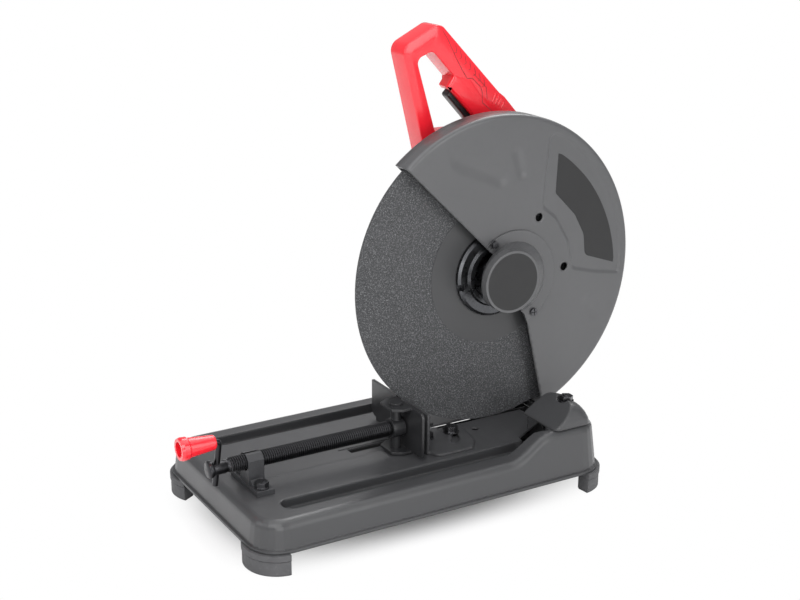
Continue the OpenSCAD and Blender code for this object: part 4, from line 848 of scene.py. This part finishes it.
def rear_cover():
    """Pressed cap behind the wheel: a flat sloping front, a bell-shaped side and a seat for its bolt."""
    low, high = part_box("rear_cover")
    (x0, y0, z0), (x1, y1, z1) = [(v.x / MM, v.y / MM, v.z / MM) for v in (low, high)]
    across, deep, tall = x1 - x0, y1 - y0, z1 - z0
    # share of the height, then how far the front, back, left and right have drawn in, as shares too
    levels = [(0, 0, 0, 0, 0), (0.25, 0, 0.02, 0.01, 0.008), (0.5, 0, 0.07, 0.03, 0.03),
              (0.68, 0, 0.13, 0.06, 0.07), (0.8, 0, 0.19, 0.09, 0.12), (0.9, 0, 0.26, 0.13, 0.19),
              (0.97, 0, 0.33, 0.18, 0.27), (1, 0, 0.4, 0.24, 0.36)]
    verts, rows, corner_steps = [], 26, 16
    for i in range(rows + 1):
        t = i / rows
        t = t if t < 0.8 else 1 - (1 - t) ** 1.6 * 0.2 ** -0.6
        front, back, left, right = (between([(l[0], l[k]) for l in levels], t) for k in (1, 2, 3, 4))
        ax, bx = x0 + left * across, x1 - right * across
        ay, by = y0 + front * deep, y1 - back * deep
        soft = 9 + 5 * ease(t * 1.3)
        r = min(soft, (bx - ax) / 2 - 0.5, (by - ay) / 2 - 0.5)
        sharp = min(r, 3.0)
        for mx, my, turn, rr in ((ax + sharp, ay + sharp, 180, sharp), (bx - r, ay + r, 270, r),
                                 (bx - r, by - r, 0, r), (ax + r, by - r, 90, r)):
            verts += [(mx + x, my + y, z0 + t * tall) for x, y in arc(rr, turn, turn + 90, corner_steps)]
    m = 4 * (corner_steps + 1)
    faces = grid_faces(rows + 1, m, True) + [tuple(range(rows * m, (rows + 1) * m)), tuple(reversed(range(m)))]
    obj = piece("rear_cap", verts, faces, "pan", "base", "pan_grey", 0.001, 35)
    bolt_low, bolt_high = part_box("cover_bolt")
    bx, by = (bolt_low.x + bolt_high.x) / 2 / MM, (bolt_low.y + bolt_high.y) / 2 / MM
    # the front is cut to a slope, a little steeper than the cap is deep
    rise, reach = tall / (0.62 * deep), 0.75 * deep
    wedge = [(y0 - 3, z0 - 3 * rise), (y0 + reach, z0 + reach * rise), (y0 - 3, z0 + reach * rise)]
    block = [(x, y, z) for x in (x0 - 5, x1 + 5) for y, z in wedge]
    cut_away(obj, block, [(0, 2, 1), (3, 4, 5), (0, 1, 4, 3), (1, 2, 5, 4), (2, 0, 3, 5)])
    seat_r = 10.2
    cut_away(obj, *prism(circle(bx, by, seat_r, 64), z1 - 6, z1 + 5))
    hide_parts("rear_cover")


rear_cover()


def painted_shade_under_deck():
    """Near-black sheets under the deck, seen only through its openings, as painted shade where the pan's
    inside
    lies in shadow: walls on both sides of the wheel's channel, a flange at the foot of the right one,
    and the rolled hem behind the rear gap."""
    wall = prism([(20, 100), (21.6, 100), (21.6, 200.4), (21.6, 202), (-62, 202), (-62, 200.4), (20, 200.4)],
                 PAN_BOTTOM + 1, 53.5)
    y1 = BASE_HIGH.y / MM
    hem = prism([(-24, y1 - 10.6), (58, y1 - 10.6), (58, y1 - 6.6), (-24, y1 - 6.6)], 57.5, 60.6)
    flange = prism([(20.5, 100.5), (32, 100.5), (32, 201), (20.5, 201)], PAN_BOTTOM + 0.1, PAN_BOTTOM + 1.7)
    left = prism([(-11.6, -56), (-10, -56), (-10, 200.4), (-11.6, 200.4)], 32, 51.5)
    # the sheets take the near-black print colour, not the pan's paint: painted shade
    piece("painted_shade_channel_wall", *join([wall, flange, left]), "panel", "base", "pan_grey", None, 30)
    piece("painted_shade_gap_hem", *hem, "panel", "base", "pan_grey", None, 30)


painted_shade_under_deck()


# ---------- handle: one D with crowned sides, a slim front bar, and a ribbed grip ----------

HANDLE_X0, HANDLE_X1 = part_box("handle_left")[0].x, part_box("handle_right")[1].x
HX = (HANDLE_X0 + HANDLE_X1) / 2 / MM
HALF_T = (HANDLE_X1 - HANDLE_X0) / 2 / MM


def inset(outline, d):
    """A counter-clockwise outline moved inwards by d."""
    out = []
    n = len(outline)
    for i, (y, z) in enumerate(outline):
        a = Vector((y, z)) - Vector(outline[i - 1])
        b = Vector(outline[(i + 1) % n]) - Vector((y, z))
        # where two points fall together, the other side gives the direction
        a, b = (a if a.length > 1e-6 else b), (b if b.length > 1e-6 else a)
        t = (a.normalized() + b.normalized()).normalized()
        out.append((y - t.y * d, z + t.x * d))
    return out


def d_handle():
    """Verts and faces of the D: edges rounded, then a slight slope up to a flat side."""
    outer = rounded([(-66, 130, 12), (62, 130, 12), (61, 168, 12), (38, 193, 14), (30.5, 198.5, 14),
                     (-40, 271, 34), (-50, 281.4, 12), (-97.5, 257.4, 13)], 10)
    inner = rounded([(-54, 160, 7), (26, 160, 7), (-58.5, 251, 8), (-79, 243, 8)], 10)
    # one half as (x, inset of the outer outline, inset of the hole's)
    soft, hole_soft, slope = 1.5, 1.4, 1.1
    half = []
    for k in range(6):
        b = math.radians(90 * k / 5)
        half.append((HALF_T - slope - soft + soft * math.sin(b), soft - soft * math.cos(b),
                     hole_soft - hole_soft * math.cos(b)))
    half.append((HALF_T, 6.8, 4.2))
    levels = [(-x, o, i) for x, o, i in reversed(half)] + half
    verts, faces = [], []
    m, n = len(outer), len(inner)
    for x, o, i in levels:
        verts += [(HX + x, SY + y, SZ + z) for y, z in inset(outer, o)]
    faces += grid_faces(len(levels), m, True)
    base = len(verts)
    for x, o, i in levels:
        verts += [(HX + x, SY + y, SZ + z) for y, z in inset(inner, -i)]
    faces += [tuple(reversed(f)) for f in grid_faces(len(levels), n, True, base)]
    top = [Vector(q) for q in inset(outer, levels[0][1])] + [Vector(q) for q in inset(inner, -levels[0][2])]
    edges = [(k, (k + 1) % m) for k in range(m)] + [(m + k, m + (k + 1) % n) for k in range(n)]
    got, _, tris, _, _, _ = delaunay_2d_cdt(top, edges, [], 0, 1e-5)
    hole = [tuple(q) for q in top[m:]]
    rim = [tuple(q) for q in top[:m]]
    for side in (-1, 1):
        base = len(verts)
        verts += [(HX + side * HALF_T, SY + v.x, SZ + v.y) for v in got]
        for t in tris:
            cy, cz = middle_of(t, got)
            if distance_to(hole, cy, cz) < 0 < distance_to(rim, cy, cz):
                faces.append(tuple(base + k for k in t) if side > 0 else tuple(base + k for k in reversed(t)))
    return verts, faces


# the grip's frame: u runs down along the grip, v away from the fingers
GRIP_Y, GRIP_Z = -45, 234.4
GRIP_A = math.radians(46.4)


def grip_point(u, v):
    """The spindle's (y, z) of a point in the grip's frame."""
    return (GRIP_Y + u * math.cos(GRIP_A) + v * math.sin(GRIP_A),
            GRIP_Z - u * math.sin(GRIP_A) + v * math.cos(GRIP_A))


def bar_along_x(outline, x0, x1, r0, r1):
    """Block over a (y, z) outline between two X planes, its edges rounded by r0 and r1."""
    levels = [(x0 + r0 - c, r0 - d) for c, d in arc(r0, 0, 90, 5)]
    levels += [(x1 - r1 + d, r1 - c) for c, d in arc(r1, 0, 90, 5)]
    verts = []
    m = len(outline)
    for x, depth in levels:
        for i in range(m):
            a = Vector(outline[i - 1]) - Vector(outline[i])
            b = Vector(outline[(i + 1) % m]) - Vector(outline[i])
            if a.length < 1e-6 or b.length < 1e-6:
                n_in = Vector((0, 0))
            else:
                tangent = b.normalized() - a.normalized()
                n_in = Vector((-tangent.y, tangent.x)).normalized()
            verts.append((x, SY + outline[i][0] + n_in.x * depth, SZ + outline[i][1] + n_in.y * depth))
    faces = grid_faces(len(levels), m, True)
    faces += [tuple(reversed(range(m))), tuple(range((len(levels) - 1) * m, len(levels) * m))]
    return verts, faces


def on_grip(points):
    """Rounded counter-clockwise outline in the spindle's (y, z) of (u, v, radius) corners."""
    corners = [(*grip_point(u, v), r) for u, v, r in points]
    area = sum(p[0] * q[1] - q[0] * p[1] for p, q in zip([corners[-1]] + corners, corners))
    return rounded(corners if area > 0 else corners[::-1], 5)


def handle():
    """The D with the trigger's boss on both sides, the bridge between them and the neck below."""
    boss = on_grip([(18, 3, 5), (21.5, -13, 3.5), (24.5, -13.6, 3.3), (28, -12, 3.3), (95, -11.5, 4),
                    (97, 8, 4), (37, 14, 5)])
    far_boss = on_grip([(18, 6, 5), (27, -3, 4), (95, -4, 4), (97, 8, 4), (37, 14, 5)])
    bridge = on_grip([(21, 6, 2), (24.2, -10.8, 1.5), (30.4, -11, 1), (31, 8, 1)])
    neck = rounded([(-58, 134, 3), (56, 134, 3), (78, 70, 3), (64, 62, 3), (-34, 62, 3)])
    blocks = join([d_handle(), bar_along_x(boss, HX + 8.6, HX + HALF_T + 0.4, 0.4, 3.0),
                   bar_along_x(far_boss, HX - HALF_T - 0.4, HX - 8.6, 3.0, 0.4),
                   bar_along_x(bridge, HX - 9, HX + 9, 0.4, 0.4),
                   bar_along_x(neck, HX - 13.5, HX + 13.5, 2, 2)])
    obj = piece("d_handle", *blocks, "red", "head", "red_plastic", 0.002, 42)
    edit = bmesh.new()
    edit.from_mesh(obj.data)
    bmesh.ops.recalc_face_normals(edit, faces=edit.faces)
    edit.to_mesh(obj.data)
    edit.free()
    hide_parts("handle_left", "handle_right")
    return obj


HANDLE = handle()


def trigger():
    """Slim pad with a rounded front that shows below the boss."""
    pad = on_grip([(31.6, -17.4, 3), (86, -18.2, 3), (88, 2, 2), (31.2, 2, 2)])
    obj = piece("trigger_pad", *bar_along_x(pad, HX - 5.5, HX + 8.2, 2.2, 2.2), "black_plastic",
                "finger_trigger", "black_plastic", 0.001, 45)
    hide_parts("trigger")


trigger()


def strip_on(obj, points, width, height, lift=0.0):
    """Verts and faces of a low ridge along (y, z) points, dropped on to the surface that faces +X."""
    start_x, step, sink, columns = 0.3, 1.5, 0.08, 5
    tree = BVHTree.FromObject(obj, bpy.context.evaluated_depsgraph_get())
    fine = []
    for (ay, az), (by, bz) in zip(points, points[1:]):
        n = max(2, int(math.hypot(by - ay, bz - az) / step))
        fine += [(ay + (by - ay) * k / n, az + (bz - az) * k / n) for k in range(n)]
    fine.append(points[-1])
    verts, rows = [], 0
    for i, (y, z) in enumerate(fine):
        a, b = fine[max(0, i - 1)], fine[min(len(fine) - 1, i + 1)]
        along = Vector((0, b[0] - a[0], b[1] - a[1])).normalized()
        taper = min(1.0, min(i, len(fine) - 1 - i) / 2 + 0.25)
        start = Vector((start_x, (SY + y) * MM, (SZ + z) * MM))
        place, normal, _, _ = tree.ray_cast(start, Vector((-1, 0, 0)))
        if place is None:
            continue
        place = place / MM
        across = along.cross(normal).normalized()
        for k in range(columns):
            t = k / (columns - 1) * 2 - 1
            rise = lift + height * (1 - t * t) * taper - sink
            verts.append(tuple(place + across * (t * width / 2 * taper) + normal * rise))
        rows += 1
    return verts, grid_faces(rows, columns)


def grip_details():
    """Thin lines of painted shadow on the grip, ribs in the same painted-shadow red, and thicker ribs on the
    collar below it.
    """
    ribs = []
    for k in range(7):
        u = -6 + 9.2 * k
        line = [grip_point(u, 26.5), grip_point(u + 7.5, 21.2), grip_point(u + 5.5, 17.5)]
        ribs.append(strip_on(HANDLE, line, 1.0, 0.12, lift=0.05))
    collar = []
    for k in range(4):
        u = 74 + 5.2 * k
        line = [grip_point(u + 6, 14 + k), grip_point(u + 2.5, 20), grip_point(u, 28.5)]
        collar.append(strip_on(HANDLE, line, 2.4, 0.7))
    piece("collar_ribs", *join(collar), "red", "head", "red_plastic", None, 60)
    piece("grip_ribs", *join(ribs), "seam", "head", "red_plastic", None, 60)
    long_seam = [(-30, 25), (-18, 23), (7, 16), (20, 13), (33, 10.7), (38, 15.6), (54, 16.4), (60, 13.7),
                 (68.6, 6), (86, 8.5)]
    short_seam = [(34.6, 20), (60, 21.2), (72, 12)]
    seams = [strip_on(HANDLE, [grip_point(*q) for q in line], width, 0.1, lift=0.06)
             for line, width in ((long_seam, 0.9), (short_seam, 0.8))]
    piece("grip_seams", *join(seams), "seam", "head", "red_plastic", None, 60)


grip_details()
